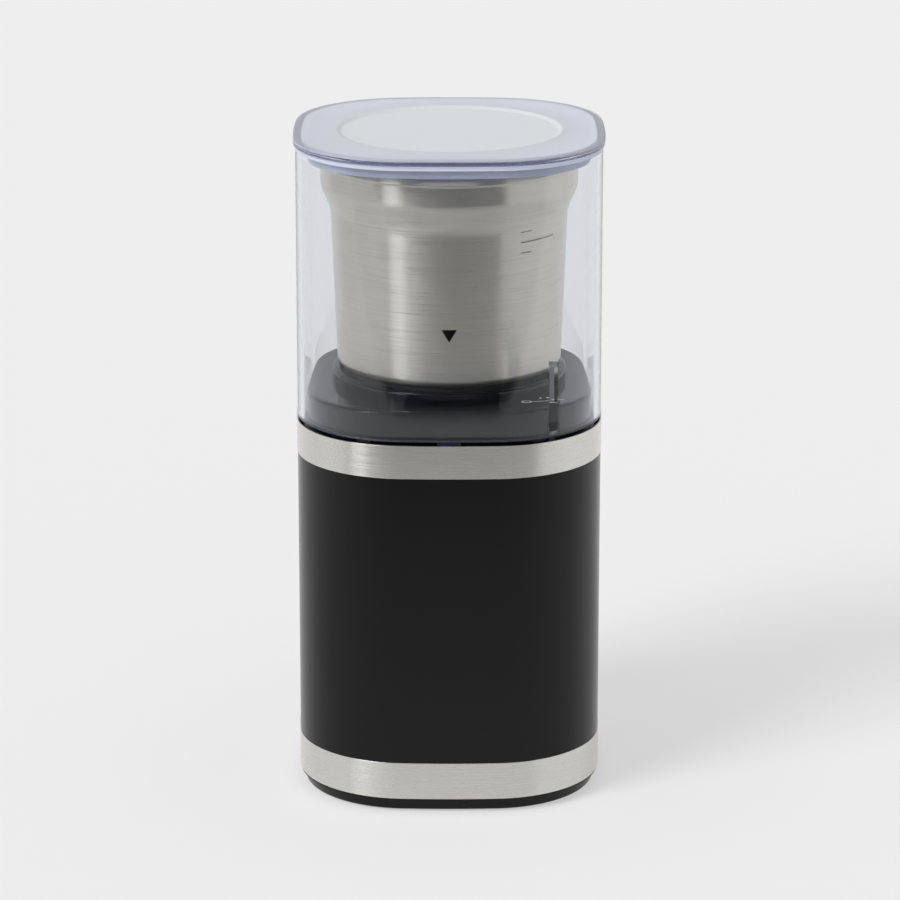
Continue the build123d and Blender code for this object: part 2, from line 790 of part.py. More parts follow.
# Upper bracket: bearing seat, four ears that hang from the deck, posts down to the core
with BuildPart() as upper_bracket:
    with BuildSketch(Plane.XY.offset(ear_z)):
        Circle(bearing_radius + bearing_wall)
        with Locations(*ear_points):
            Circle(damper_radius + 0.5)
        Rectangle(2 * ear_radius, pad_width)
        Rectangle(pad_width, 2 * ear_radius)
        with Locations(*through_points):
            Circle(post_radius)
        Rectangle(arm_length, arm_width, rotation=math.degrees(math.atan2(through_y, through_x)))
    extrude(amount=bracket_plate)
    upper_seat_z = ear_z + bearing_lip
    rod(bearing_radius + bearing_wall, ear_z, upper_seat_z + bearing_height)
    rod(post_radius, stator_top_z, ear_z + bracket_plate, through_points)
    rod(shaft_radius + bearing_lip, ear_z, upper_seat_z + bearing_height, mode=Mode.SUBTRACT)
    rod(bearing_radius, upper_seat_z, upper_seat_z + bearing_height, mode=Mode.SUBTRACT)
    rod(through_screw_radius, stator_top_z, ear_z + bracket_plate - 1.0, through_points, Mode.SUBTRACT)
    rod(screw_radius + screw_clearance, ear_z, ear_top_z, ear_points, Mode.SUBTRACT)
upper_bracket.part.label = "upper_bracket"
export_step(upper_bracket.part, "parts/upper_bracket.step")

# Two long screws that clamp the brackets to the core
with BuildPart() as motor_screws:
    rod(2 * through_screw_radius, lower_bracket_z - 2.4, lower_bracket_z, through_points)
    rod(through_screw_radius, lower_bracket_z, ear_z + bracket_plate - 1.0, through_points)
motor_screws.part.label = "motor_screws"
export_step(motor_screws.part, "parts/motor_screws.step")

# Rubber dampers between the motor's ears and the deck
with BuildPart() as motor_dampers:
    tube(damper_radius, screw_radius + screw_clearance, ear_top_z, damper_top_z, ear_points)
motor_dampers.part.label = "motor_dampers"
export_step(motor_dampers.part, "parts/motor_dampers.step")

with BuildPart() as mount_screws:
    pan_screws(ear_points, ear_z, damper_top_z + boss_radius * 2)
mount_screws.part.label = "mount_screws"
export_step(mount_screws.part, "parts/mount_screws.step")


def bearing_section(bottom):
    """Adds a shielded ball bearing: two races with a recessed shield between them."""
    bore = shaft_radius + running_gap
    recess = 0.6
    race = 1.8
    tube(bearing_radius, bore, bottom + recess, bottom + bearing_height - recess)
    tube(bearing_radius, bearing_radius - race, bottom, bottom + bearing_height)
    tube(bore + race, bore, bottom, bottom + bearing_height)


with BuildPart() as lower_bearing:
    bearing_section(lower_seat_z)
lower_bearing.part.label = "lower_bearing"
export_step(lower_bearing.part, "parts/lower_bearing.step")

with BuildPart() as upper_bearing:
    bearing_section(upper_seat_z)
upper_bearing.part.label = "upper_bearing"
export_step(upper_bearing.part, "parts/upper_bearing.step")

# Brush gear on both sides of the commutator
brush_z = commutator_z + commutator_height / 2
holder_start = commutator_radius + 1.2

with BuildPart() as brush_holders:
    for side in (-1, 1):
        holder_plane = Plane(origin=(side * holder_start, 0, brush_z), x_dir=(0, 1, 0), z_dir=(side, 0, 0))
        holder_skin = 2 * (holder_wall + fit_gap)
        with BuildSketch(holder_plane):
            RectangleRounded(brush_width + holder_skin, brush_height + holder_skin, 0.8)
        extrude(amount=holder_length)
        with BuildSketch(holder_plane):
            Rectangle(brush_width + 2 * fit_gap, brush_height + 2 * fit_gap)
        extrude(amount=holder_length - holder_wall, mode=Mode.SUBTRACT)
brush_holders.part.label = "brush_holders"
export_step(brush_holders.part, "parts/brush_holders.step")

with BuildPart() as carbon_brushes:
    for side in (-1, 1):
        brush_face = commutator_radius + running_gap
        with BuildSketch(Plane(origin=(side * brush_face, 0, brush_z), x_dir=(0, 1, 0), z_dir=(side, 0, 0))):
            Rectangle(brush_width, brush_height)
        extrude(amount=brush_length)
carbon_brushes.part.label = "carbon_brushes"
export_step(carbon_brushes.part, "parts/carbon_brushes.step")

with BuildPart() as brush_springs:
    spring_start = commutator_radius + running_gap + brush_length + spring_wire
    spring_length = holder_start + holder_length - holder_wall - spring_wire - spring_start - fit_gap
    for side in (-1, 1):
        with BuildLine() as spring_path:
            Helix(
                spring_length / spring_turns,
                spring_length,
                brush_width / 2 - 2 * spring_wire,
                center=(side * spring_start, 0, brush_z),
                direction=(side, 0, 0),
            )
        with BuildSketch(Plane(spring_path.line @ 0, z_dir=spring_path.line % 0)) as wire:
            RegularPolygon(spring_wire, 6)
        sweep(wire.sketch, path=spring_path.line, is_frenet=True)
brush_springs.part.label = "brush_springs"
export_step(brush_springs.part, "parts/brush_springs.step")

# ---------------------------------------------------------------- motor, turning part

with BuildPart() as motor_shaft:
    rod(shaft_radius, shaft_bottom_z, shaft_top_z)
    chamfer(motor_shaft.edges().filter_by(GeomType.CIRCLE), 0.4)
motor_shaft.part.label = "motor_shaft"
export_step(motor_shaft.part, "parts/motor_shaft.step")

# Slotted armature core
armature_radius = bore_radius - air_gap
with BuildPart() as armature_core:
    with BuildSketch(Plane.XY.offset(stator_bottom_z)):
        Circle(armature_radius)
        with PolarLocations(armature_radius - slot_depth / 2 - slot_lip, slot_count):
            Rectangle(slot_depth, slot_width, mode=Mode.SUBTRACT)
        with PolarLocations(armature_radius - slot_lip / 2, slot_count):
            Rectangle(2 * slot_lip, slot_width / 2, mode=Mode.SUBTRACT)
        Circle(shaft_radius, mode=Mode.SUBTRACT)
    extrude(amount=stator_height)
armature_core.part.label = "armature_core"
export_step(armature_core.part, "parts/armature_core.step")

# Winding: a bar in every slot and a rounded end turn at each end of the core
with BuildPart() as armature_winding:
    with BuildSketch(Plane.XY.offset(stator_bottom_z)):
        with PolarLocations(armature_radius - slot_depth / 2 - slot_lip, slot_count):
            Rectangle(slot_depth - 2 * fit_gap, slot_width - 2 * fit_gap)
    extrude(amount=stator_height)
    for bottom in (stator_bottom_z - winding_height, stator_top_z):
        with BuildSketch(Plane.XZ):
            with Locations(((winding_radius + shaft_radius + 1.0) / 2, bottom + winding_height / 2)):
                end_turn = Rectangle(winding_radius - shaft_radius - 1.0, winding_height)
            chamfer(end_turn.vertices(), winding_bevel)
        revolve(axis=Axis.Z)
armature_winding.part.label = "armature_winding"
export_step(armature_winding.part, "parts/armature_winding.step")

# Commutator with slotted bars and a riser flange under the winding
with BuildPart() as commutator:
    tube(commutator_radius, shaft_radius, commutator_z, commutator_z + commutator_height)
    rod(commutator_radius + 1.0, commutator_z + commutator_height - 1.5, commutator_z + commutator_height)
    rod(shaft_radius, commutator_z, commutator_z + commutator_height, mode=Mode.SUBTRACT)
    with BuildSketch(Plane.XY.offset(commutator_z)):
        with PolarLocations(commutator_radius, bar_count):
            Rectangle(1.6, 0.5)
    extrude(amount=commutator_height - 1.5, mode=Mode.SUBTRACT)
commutator.part.label = "commutator"
export_step(commutator.part, "parts/commutator.step")

# Cooling fan with swept blades on a disc
with BuildPart() as cooling_fan:
    tube(fan_radius, shaft_radius, fan_z, fan_z + 1.2)
    tube(shaft_radius + 2.5, shaft_radius, fan_z, fan_z + fan_height)
    with BuildSketch(mode=Mode.PRIVATE) as fan_blade:
        with BuildLine():
            ThreePointArc((shaft_radius + 2.0, 0), (fan_radius * 0.6, 2.2), (fan_radius, 8.0))
        trace(line_width=1.2)
    with BuildSketch(Plane.XY.offset(fan_z)):
        with PolarLocations(0, fan_blades):
            add(fan_blade.sketch)
        Circle(fan_radius, mode=Mode.INTERSECT)
    extrude(amount=fan_height - 0.6)
cooling_fan.part.label = "cooling_fan"
export_step(cooling_fan.part, "parts/cooling_fan.step")

# Drive coupling: a hub through the deck's floor and a toothed cup for the bowl's star
with BuildPart() as drive_coupling:
    rod(shaft_radius + 2.2, coupling_z - coupling_hub, coupling_z)
    rod(coupling_radius, coupling_z, coupling_top_z)
    fillet(drive_coupling.edges().group_by(Axis.Z)[-1], 0.8)
    with BuildSketch(Plane.XY.offset(shaft_top_z)):
        add(star(mesh_gap))
    extrude(amount=coupling_top_z - shaft_top_z, mode=Mode.SUBTRACT)
    rod(shaft_radius, coupling_z - coupling_hub, shaft_top_z, mode=Mode.SUBTRACT)
drive_coupling.part.label = "drive_coupling"
export_step(drive_coupling.part, "parts/drive_coupling.step")

# ---------------------------------------------------------------- bowl


def cup_section(wall):
    """Half-section of the bowl's body, drawn in by wall, from the floor up to the rim."""
    floor = cup_z + wall
    rim_z = cup_top_z - lip_height - rim_height
    with BuildSketch(Plane.XZ, mode=Mode.PRIVATE) as section:
        with BuildLine():
            side = FilletPolyline(
                (0, floor),
                (foot_radius - wall, floor),
                (waist_radius - wall, rim_z - waist_height),
                (rim_radius - wall, rim_z),
                (rim_radius - wall, cup_top_z),
                radius=[foot_round - wall / 2, waist_round, shoulder_round],
            )
            Line(side @ 1, (0, cup_top_z))
            Line((0, cup_top_z), (0, floor))
        make_face()
    return section.sketch


# Drawn steel cup: tapered side, shoulder, rim band and a rolled lip
with BuildPart() as bowl_cup:
    revolve(cup_section(0), axis=Axis.Z)
    with BuildSketch(Plane.XZ):
        with Locations((rim_radius + lip_proud / 2 - cup_wall / 2, cup_top_z - lip_height / 2)):
            RectangleRounded(cup_wall + lip_proud, lip_height, lip_round)
    revolve(axis=Axis.Z)
    revolve(cup_section(cup_wall), axis=Axis.Z, mode=Mode.SUBTRACT)
    rod(hub_neck_radius, cup_z, cup_floor_z, mode=Mode.SUBTRACT)
bowl_cup.part.label = "bowl_cup"
export_step(bowl_cup.part, "parts/bowl_cup.step")

# Base moulding: ring that stands in the socket, top plate, ribs and bayonet lugs
with BuildPart() as bowl_base:
    tube(base_radius, base_radius - base_ring_wall, seat_z, cup_z)
    tube(base_radius, hub_neck_radius, cup_z - base_plate, cup_z)
    with BuildSketch(Plane.XY.offset(cup_z - base_plate - base_rib)):
        with PolarLocations((base_radius - 1.0 + rib_start) / 2, rib_count):
            Rectangle(base_radius - 1.0 - rib_start, rib_wall)
    extrude(amount=base_rib)
    with BuildSketch(Plane.XY.offset(seat_z + lug_lift)):
        with PolarLocations(0, lug_count, start_angle=lug_start):
            add(sector(base_radius + lug_reach, lug_angle))
        Circle(base_radius - base_ring_wall / 2, mode=Mode.SUBTRACT)
    extrude(amount=lug_height)
bowl_base.part.label = "bowl_base"
export_step(bowl_base.part, "parts/bowl_base.step")

# Bearing hub clamped through the cup's floor by a hexagon nut
with BuildPart() as bowl_hub:
    spun(
        [
            (bush_radius, hub_bottom_z),
            (hub_neck_radius, hub_bottom_z),
            (hub_neck_radius, cup_floor_z),
            (hub_flange_radius, cup_floor_z),
            (hub_flange_radius, hub_top_z),
            (hub_radius + 1.0, hub_top_z + 0.6),
            (hub_radius - 1.5, hub_end_z),
            (bush_radius, hub_end_z),
        ]
    )
bowl_hub.part.label = "bowl_hub"
export_step(bowl_hub.part, "parts/bowl_hub.step")

with BuildPart() as hub_nut:
    with BuildSketch(Plane.XY.offset(cup_z - base_plate - nut_height)):
        RegularPolygon(nut_flats / 2, 6, major_radius=False)
        Circle(hub_neck_radius, mode=Mode.SUBTRACT)
    extrude(amount=nut_height)
hub_nut.part.label = "hub_nut"
export_step(hub_nut.part, "parts/hub_nut.step")

with BuildPart() as bowl_bush:
    tube(bush_radius, blade_shaft_radius + running_gap, hub_bottom_z, hub_end_z - shaft_seal_height)
bowl_bush.part.label = "bowl_bush"
export_step(bowl_bush.part, "parts/bowl_bush.step")

with BuildPart() as shaft_seal:
    tube(bush_radius, blade_shaft_radius + running_gap, hub_end_z - shaft_seal_height, hub_end_z - 0.3)
shaft_seal.part.label = "shaft_seal"
export_step(shaft_seal.part, "parts/shaft_seal.step")

# ---------------------------------------------------------------- blade

with BuildPart() as blade_shaft:
    rod(blade_shaft_radius, star_z, blade_nut_z + blade_nut_height + 0.4)
    rod(blade_shaft_radius + 1.6, hub_end_z + 0.4, blade_z)
    chamfer(blade_shaft.edges().group_by(Axis.Z)[-1], 0.4)
blade_shaft.part.label = "blade_shaft"
export_step(blade_shaft.part, "parts/blade_shaft.step")

# Two-winged blade: swept plan outline cut from a strip whose tips are bent
with BuildPart() as blade:
    with BuildSketch(Plane.XZ):
        with BuildLine():
            FilletPolyline(
                (-blade_radius - 1.0, blade_mid_z - tip_drop),
                (-blade_radius + tip_length, blade_mid_z),
                (blade_radius - tip_length, blade_mid_z),
                (blade_radius + 1.0, blade_mid_z + tip_rise),
                radius=2.0,
            )
        trace(line_width=blade_thickness)
    extrude(amount=blade_width, both=True)
    with BuildSketch(mode=Mode.PRIVATE) as wing:
        with BuildLine():
            back = blade_width * 0.45
            tip_x = blade_radius - 1.5
            ThreePointArc((0, -back), (blade_radius * 0.55, -1.15 * back), (blade_radius, -0.1 * back))
            Line((blade_radius, -0.1 * back), (tip_x, back))
            ThreePointArc((tip_x, back), (blade_radius * 0.5, 0.7 * back), (0, back))
            Line((0, back), (0, -back))
        make_face()
    with BuildSketch(Plane.XY.offset(blade_mid_z - 2 * tip_rise)):
        with PolarLocations(0, 2):
            add(wing.sketch)
        Circle(blade_width * 0.75)
        Circle(blade_shaft_radius, mode=Mode.SUBTRACT)
    extrude(amount=4 * tip_rise, mode=Mode.INTERSECT)
blade.part.label = "blade"
export_step(blade.part, "parts/blade.step")

with BuildPart() as blade_nut:
    with BuildSketch(Plane.XY.offset(blade_nut_z)):
        RegularPolygon(blade_nut_flats / 2, 6, major_radius=False)
        Circle(blade_shaft_radius, mode=Mode.SUBTRACT)
    extrude(amount=blade_nut_height)
blade_nut.part.label = "blade_nut"
export_step(blade_nut.part, "parts/blade_nut.step")

# Star on the lower end of the blade's shaft
with BuildPart() as driven_coupling:
    with BuildSketch(Plane.XY.offset(star_z)):
        add(star(0))
    extrude(amount=star_height)
    rod(star_waist, star_top_z, hub_bottom_z - 0.6)
    rod(blade_shaft_radius, star_z, hub_bottom_z, mode=Mode.SUBTRACT)
driven_coupling.part.label = "driven_coupling"
export_step(driven_coupling.part, "parts/driven_coupling.step")

# ---------------------------------------------------------------- hood and lid

# Sealing ring under the lid's collar, lying on the bowl's lip
with BuildPart() as lid_seal:
    with BuildSketch(Plane.XZ):
        with Locations(((seal_inner + seal_outer) / 2, cup_top_z + seal_height / 2)):
            seal_ring = Rectangle(seal_outer - seal_inner, seal_height)
        chamfer(seal_ring.vertices(), seal_bevel)
    revolve(axis=Axis.Z)
lid_seal.part.label = "lid_seal"
export_step(lid_seal.part, "parts/lid_seal.step")

# Top plate: overhanging edge, shallow round dish and the conical collar with its spigot
with BuildPart() as lid_plate:
    prism(-lid_overhang, hood_top_z, lid_top_z)
    fillet(lid_plate.edges().group_by(Axis.Z)[-1], lid_round)
    spun(
        [
            (0, lid_top_z - recess_depth),
            (recess_radius - recess_depth, lid_top_z - recess_depth),
            (recess_radius, lid_top_z),
            (0, lid_top_z),
        ],
        Mode.SUBTRACT,
    )
    spun(
        [
            (collar_top_radius, hood_top_z),
            (collar_low_radius, collar_z),
            (spigot_radius, collar_z),
            (spigot_radius, cup_top_z - spigot_depth),
            (spigot_radius - spigot_wall, cup_top_z - spigot_depth),
            (spigot_radius - spigot_wall, collar_z + spigot_wall),
            (collar_low_radius - 1.0, collar_z + spigot_wall),
            (collar_top_radius - collar_wall, hood_top_z),
        ]
    )
lid_plate.part.label = "lid_plate"
export_step(lid_plate.part, "parts/lid_plate.step")

# Hood wall with the front tab and the interlock tongue inside the front right corner
with BuildPart() as hood_shell:
    frame_ring(hood_inset, hood_inner_inset, hood_z, hood_top_z)
    with BuildSketch(Plane.XY.offset(hood_z - tab_depth)):
        add(plan(hood_inset + tab_step))
        add(plan(hood_inner_inset - slip_gap), mode=Mode.SUBTRACT)
        with Locations((0, -half_width)):
            Rectangle(tab_width, tab_reach, mode=Mode.INTERSECT)
    extrude(amount=tab_depth + 1.0)
    with BuildSketch(Plane.XY.offset(tongue_z)):
        with Locations((interlock_x, (tongue_end_y - half_width) / 2)):
            Rectangle(tongue_wall, half_width + tongue_end_y)
        add(plan(hood_inner_inset - tongue_bite), mode=Mode.INTERSECT)
    extrude(amount=tongue_length)
hood_shell.part.label = "hood_shell"
export_step(hood_shell.part, "parts/hood_shell.step")
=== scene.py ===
import json
import math

import bmesh
import bpy
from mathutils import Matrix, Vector


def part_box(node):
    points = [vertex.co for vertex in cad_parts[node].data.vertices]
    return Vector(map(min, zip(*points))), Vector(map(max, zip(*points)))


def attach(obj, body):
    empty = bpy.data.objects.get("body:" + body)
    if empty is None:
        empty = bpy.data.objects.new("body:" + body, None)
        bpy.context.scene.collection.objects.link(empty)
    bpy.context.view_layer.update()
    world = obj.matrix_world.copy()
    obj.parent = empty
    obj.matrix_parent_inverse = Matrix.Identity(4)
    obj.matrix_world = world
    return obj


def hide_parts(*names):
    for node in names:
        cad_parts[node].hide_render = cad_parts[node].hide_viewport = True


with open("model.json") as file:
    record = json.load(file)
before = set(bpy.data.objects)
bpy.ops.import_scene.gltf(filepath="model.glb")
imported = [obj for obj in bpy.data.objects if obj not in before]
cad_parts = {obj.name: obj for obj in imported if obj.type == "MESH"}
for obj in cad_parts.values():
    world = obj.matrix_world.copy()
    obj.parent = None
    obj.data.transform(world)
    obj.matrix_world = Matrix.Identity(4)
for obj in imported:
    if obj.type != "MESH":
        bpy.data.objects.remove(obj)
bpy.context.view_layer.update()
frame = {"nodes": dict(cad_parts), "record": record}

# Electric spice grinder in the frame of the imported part, with its front towards -Y. Lengths of the object
# are in millimetres until mm() turns them into Blender's metres. Stage, lights and camera are in metres.


def mm(value):
    return value * 0.001


def heights(node):
    """Lowest and highest Z of a CAD node, in millimetres."""
    return [round(corner[2] * 1000, 3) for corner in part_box(node)]


# ---------------------------------------------------------------- sizes

# Outline of body, bands and hood: a square with bowed sides and round corners
HALF_WIDTH = 52.5
FACE_RADIUS = 300.0
CORNER_RADIUS = 38.0

# Steel bands
BAND_WALL = 0.6
BAND_ROUND = 0.12

# Hood wall. Insets are measured inwards from the outline
TAB_FOOT, HOOD_TOP = heights("hood_shell")
HOOD_FOOT = 132.2
HOOD_OUTER_INSET = 0.2
HOOD_INNER_INSET = 2.4
FOOT_ROUND = 0.35
EDGE_SPAN = 1.5

# Lid slab with its round recess
SPIGOT_FOOT, LID_TOP = heights("lid_plate")
LID_INSET = -0.5
LID_ROUND = 0.8
RECESS_RADIUS = 38.4
RECESS_FLOOR_RADIUS = 36.8
RECESS_FLOOR = LID_TOP - 0.8
RECESS_ROUND = 2.0
BORDER_RADIUS = 47.0
MIDDLE_RADIUS = 20.0

# Underside of the lid: cone, spigot that enters the bowl, seat of the sealing ring, collar round it
CONE_RADIUS = 46.9
CONE_FOOT_RADIUS = 44.8
SPIGOT_ROOT = 224.0
SPIGOT_INNER = 41.4
SPIGOT_OUTER = 43.0
SEAL_SEAT = heights("lid_seal")[1]
SEAT_RADIUS = 46.0
COLLAR_FOOT = SEAL_SEAT - 0.9
COLLAR_INSET = 4.4

# Interlock tongue and front tab, both moulded on the hood
TONGUE_X = 34.44
TONGUE_WALL = 2.8
TONGUE_FRONT = -44.7
TONGUE_BACK = -35.23
TONGUE_FOOT = 134.0
TONGUE_TOP = 156.0
TAB_WIDTH = 8.0
TAB_FRONT = -51.57
TAB_BACK = -50.42
TAB_TOP = 133.2

# Bowl
CUP_FOOT, CUP_TOP = heights("bowl_cup")
CUP_WALL = 0.8
CUP_HOLE = 9.0
CUP_FOOT_RADIUS = 38.7
SHOULDER_FOOT_RADIUS = 40.9
SHOULDER_FOOT = 202.2
RIM_RADIUS = 44.5
RIM_FOOT = 210.0
LIP_FOOT = 217.5
LIP_LOW = 218.2
LIP_HIGH = 218.5
LIP_ROLL = 0.4

# Printed marks on bowl and deck
PRINT = 0.03
DECK_TOP = 142.0
ARROW_HALF = 2.6
ARROW_TOP = 168.0
ARROW_TIP = 163.6
FILL_START = 25.5
FILL_END = 42.0
TICK_END = 30.0

# ---------------------------------------------------------------- form of the outline

# The corner arcs run into the bowed sides without a kink
REACH = FACE_RADIUS - HALF_WIDTH
CORNER_CENTRE = (math.sqrt(2 * (FACE_RADIUS - CORNER_RADIUS) ** 2 - REACH**2) - REACH) / 2
FACE_ANGLE = math.atan2(CORNER_CENTRE, CORNER_CENTRE + REACH)


def stations(face_steps=24, corner_steps=40):
    """Points of the outline with their outward directions, once round from the +X side."""
    quarter = []
    for i in range(face_steps):
        a = FACE_ANGLE * (2 * i / face_steps - 1)
        quarter.append((FACE_RADIUS * math.cos(a) - REACH, FACE_RADIUS * math.sin(a), a))
    for i in range(corner_steps):
        a = FACE_ANGLE + (math.pi / 2 - 2 * FACE_ANGLE) * i / corner_steps
        x = CORNER_CENTRE + CORNER_RADIUS * math.cos(a)
        y = CORNER_CENTRE + CORNER_RADIUS * math.sin(a)
        quarter.append((x, y, a))
    places = []
    for side in range(4):
        turn = side * math.pi / 2
        c, s = math.cos(turn), math.sin(turn)
        for x, y, a in quarter:
            places.append((x * c - y * s, x * s + y * c, math.cos(a + turn), math.sin(a + turn)))
    return places


STATIONS = stations()


def frame_loop(inset, z):
    """A level loop of the outline, drawn in by inset."""
    return [(x - inset * nx, y - inset * ny, z) for x, y, nx, ny in STATIONS]


def round_loop(radius, z):
    """A level circle whose points lie in the same directions as the outline's."""
    loop = []
    for x, y, _, _ in STATIONS:
        d = math.hypot(x, y)
        loop.append((x / d * radius, y / d * radius, z))
    return loop


def edge_inset(x, y):
    """How far a point of the first quarter lies inside the outline."""
    if x > CORNER_CENTRE and y > CORNER_CENTRE:
        return CORNER_RADIUS - math.hypot(x - CORNER_CENTRE, y - CORNER_CENTRE)
    return HALF_WIDTH - max(x, y)


def softened(points, radii, steps):
    """An open line of points whose inner corners are rounded by the radii, each in so many steps."""
    line = [points[0]]
    for i in range(1, len(points) - 1):
        corner = Vector(points[i])
        if not radii[i]:
            line.append(tuple(corner))
            continue
        before = Vector(points[i - 1]) - corner
        after = Vector(points[i + 1]) - corner
        room = 0.499 * min(before.length, after.length)
        before.normalize()
        after.normalize()
        half = before.angle(after) / 2
        cut = min(radii[i] / math.tan(half), room)
        radius = cut * math.tan(half)
        centre = corner + (before + after).normalized() * (radius / math.sin(half))
        u = corner + before * cut - centre
        v = corner + after * cut - centre
        whole = u.angle(v)
        for k in range(steps + 1):
            t = k / steps
            spoke = (u * math.sin((1 - t) * whole) + v * math.sin(t * whole)) / math.sin(whole)
            line.append(tuple(centre + spoke))
    line.append(points[-1])
    return line


# ---------------------------------------------------------------- mesh helpers


def smooth(obj, angle=30.0):
    """Smooth shading with sharp creases, where flat faces keep their own direction beside rounded edges."""
    mesh = obj.data
    mesh.polygons.foreach_set("use_smooth", [True] * len(mesh.polygons))
    mesh.set_sharp_from_angle(angle=math.radians(angle))
    mesh.update()
    weighted = obj.modifiers.new("flat_first", "WEIGHTED_NORMAL")
    weighted.mode = "FACE_AREA"
    weighted.weight = 80
    weighted.keep_sharp = True


def make_object(name, verts, faces, sharp=30.0):
    """A mesh object from points in millimetres."""
    mesh = bpy.data.meshes.new(name)
    mesh.from_pydata([(mm(x), mm(y), mm(z)) for x, y, z in verts], [], faces)
    mesh.validate()
    bm = bmesh.new()
    bm.from_mesh(mesh)
    bmesh.ops.recalc_face_normals(bm, faces=bm.faces)
    bm.to_mesh(mesh)
    bm.free()
    obj = bpy.data.objects.new(name, mesh)
    bpy.context.scene.collection.objects.link(obj)
    smooth(obj, sharp)
    return obj


def loops_to_mesh(name, loops, sharp, centres=None):
    """Joins loops of equal length by quads. The ends meet, or close on two centre points."""
    count = len(loops[0])
    verts = [point for loop in loops for point in loop]
    faces = []
    for i in range(len(loops) - (1 if centres else 0)):
        a = i * count
        b = ((i + 1) % len(loops)) * count
        for k in range(count):
            n = (k + 1) % count
            faces.append((a + k, a + n, b + n, b + k))
    if centres:
        first, last = len(verts), len(verts) + 1
        verts += centres
        a = (len(loops) - 1) * count
        for k in range(count):
            n = (k + 1) % count
            faces += [(first, n, k), (last, a + k, a + n)]
    return make_object(name, verts, faces, sharp)


def circle(radius, z, segments=192):
    turns = [2 * math.pi * k / segments for k in range(segments)]
    return [(radius * math.cos(a), radius * math.sin(a), z) for a in turns]


def block(name, x_range, y_range, z_range):
    """A plain block that is joined to a moulding."""
    (x0, x1), (y0, y1) = x_range, y_range
    verts = [(x, y, z) for z in z_range for x, y in ((x0, y0), (x1, y0), (x1, y1), (x0, y1))]
    sides = [(0, 1, 5, 4), (1, 2, 6, 5), (2, 3, 7, 6), (3, 0, 4, 7)]
    return make_object(name, verts, [(3, 2, 1, 0), (4, 5, 6, 7)] + sides)


def join(obj, other):
    """Makes other part of obj."""
    obj.modifiers.clear()
    other.modifiers.clear()
    union = obj.modifiers.new("join", "BOOLEAN")
    union.operation = "UNION"
    union.solver = "EXACT"
    union.object = other
    deps = bpy.context.evaluated_depsgraph_get()
    mesh = bpy.data.meshes.new_from_object(obj.evaluated_get(deps))
    obj.modifiers.clear()
    obj.data = mesh
    bpy.data.objects.remove(other)


# ---------------------------------------------------------------- material helpers

PLASTIC_IOR = 1.5
ACRYLIC_IOR = 1.49
SILICONE_IOR = 1.41
FORWARD_SCATTER = 0.15
EDGE_BLUE = (0.60, 0.62, 0.88)


def put(node, values):
    """Sets inputs of a node by their names."""
    for name, value in values.items():
        node.inputs[name].default_value = value


def fill_ramp(node, stops):
    """Gives a colour ramp its stops, each a position and a colour."""
    elements = node.color_ramp.elements
    for position, _ in stops[1:-1]:
        elements.new(position)
    for element, (position, colour) in zip(elements, stops):
        element.position = position
        element.color = (*colour, 1)


def grey(level):
    return (level, level, level)


def new_material(name):
    mat = bpy.data.materials.new(name)
    mat.use_nodes = True
    return mat, mat.node_tree, mat.node_tree.nodes["Principled BSDF"]


def plain(name, colour, roughness, metallic=0.0, grain=0.0, grain_scale=2500.0, specular=0.5):
    """Plain plastic, rubber or metal, with a fine moulded grain where grain is given."""
    mat, tree, shader = new_material(name)
    new, link = tree.nodes.new, tree.links.new
    put(shader, {"Base Color": (*colour, 1), "Roughness": roughness, "Metallic": metallic})
    put(shader, {"IOR": PLASTIC_IOR, "Specular IOR Level": specular})
    if grain:
        coords = new("ShaderNodeTexCoord")
        noise = new("ShaderNodeTexNoise")
        put(noise, {"Scale": grain_scale, "Detail": 2.0})
        bump = new("ShaderNodeBump")
        put(bump, {"Strength": grain, "Distance": 0.0001})
        link(coords.outputs["Object"], noise.inputs["Vector"])
        link(noise.outputs["Fac"], bump.inputs["Height"])
        link(bump.outputs["Normal"], shader.inputs["Normal"])
    return mat


def darken_top_reflections(mat, side, level):
    """Lowers the shine of level faces, which paints shade into their reflections: tops show darker than
    sides.
    """
    tree = mat.node_tree
    new, link = tree.nodes.new, tree.links.new
    here = new("ShaderNodeNewGeometry")
    split = new("ShaderNodeSeparateXYZ")
    fit = new("ShaderNodeMapRange")
    put(fit, {"From Min": 0.15, "From Max": 0.5, "To Min": side, "To Max": level})
    link(here.outputs["Normal"], split.inputs["Vector"])
    link(split.outputs["Z"], fit.inputs["Value"])
    link(fit.outputs["Result"], tree.nodes["Principled BSDF"].inputs["Specular IOR Level"])
    return mat


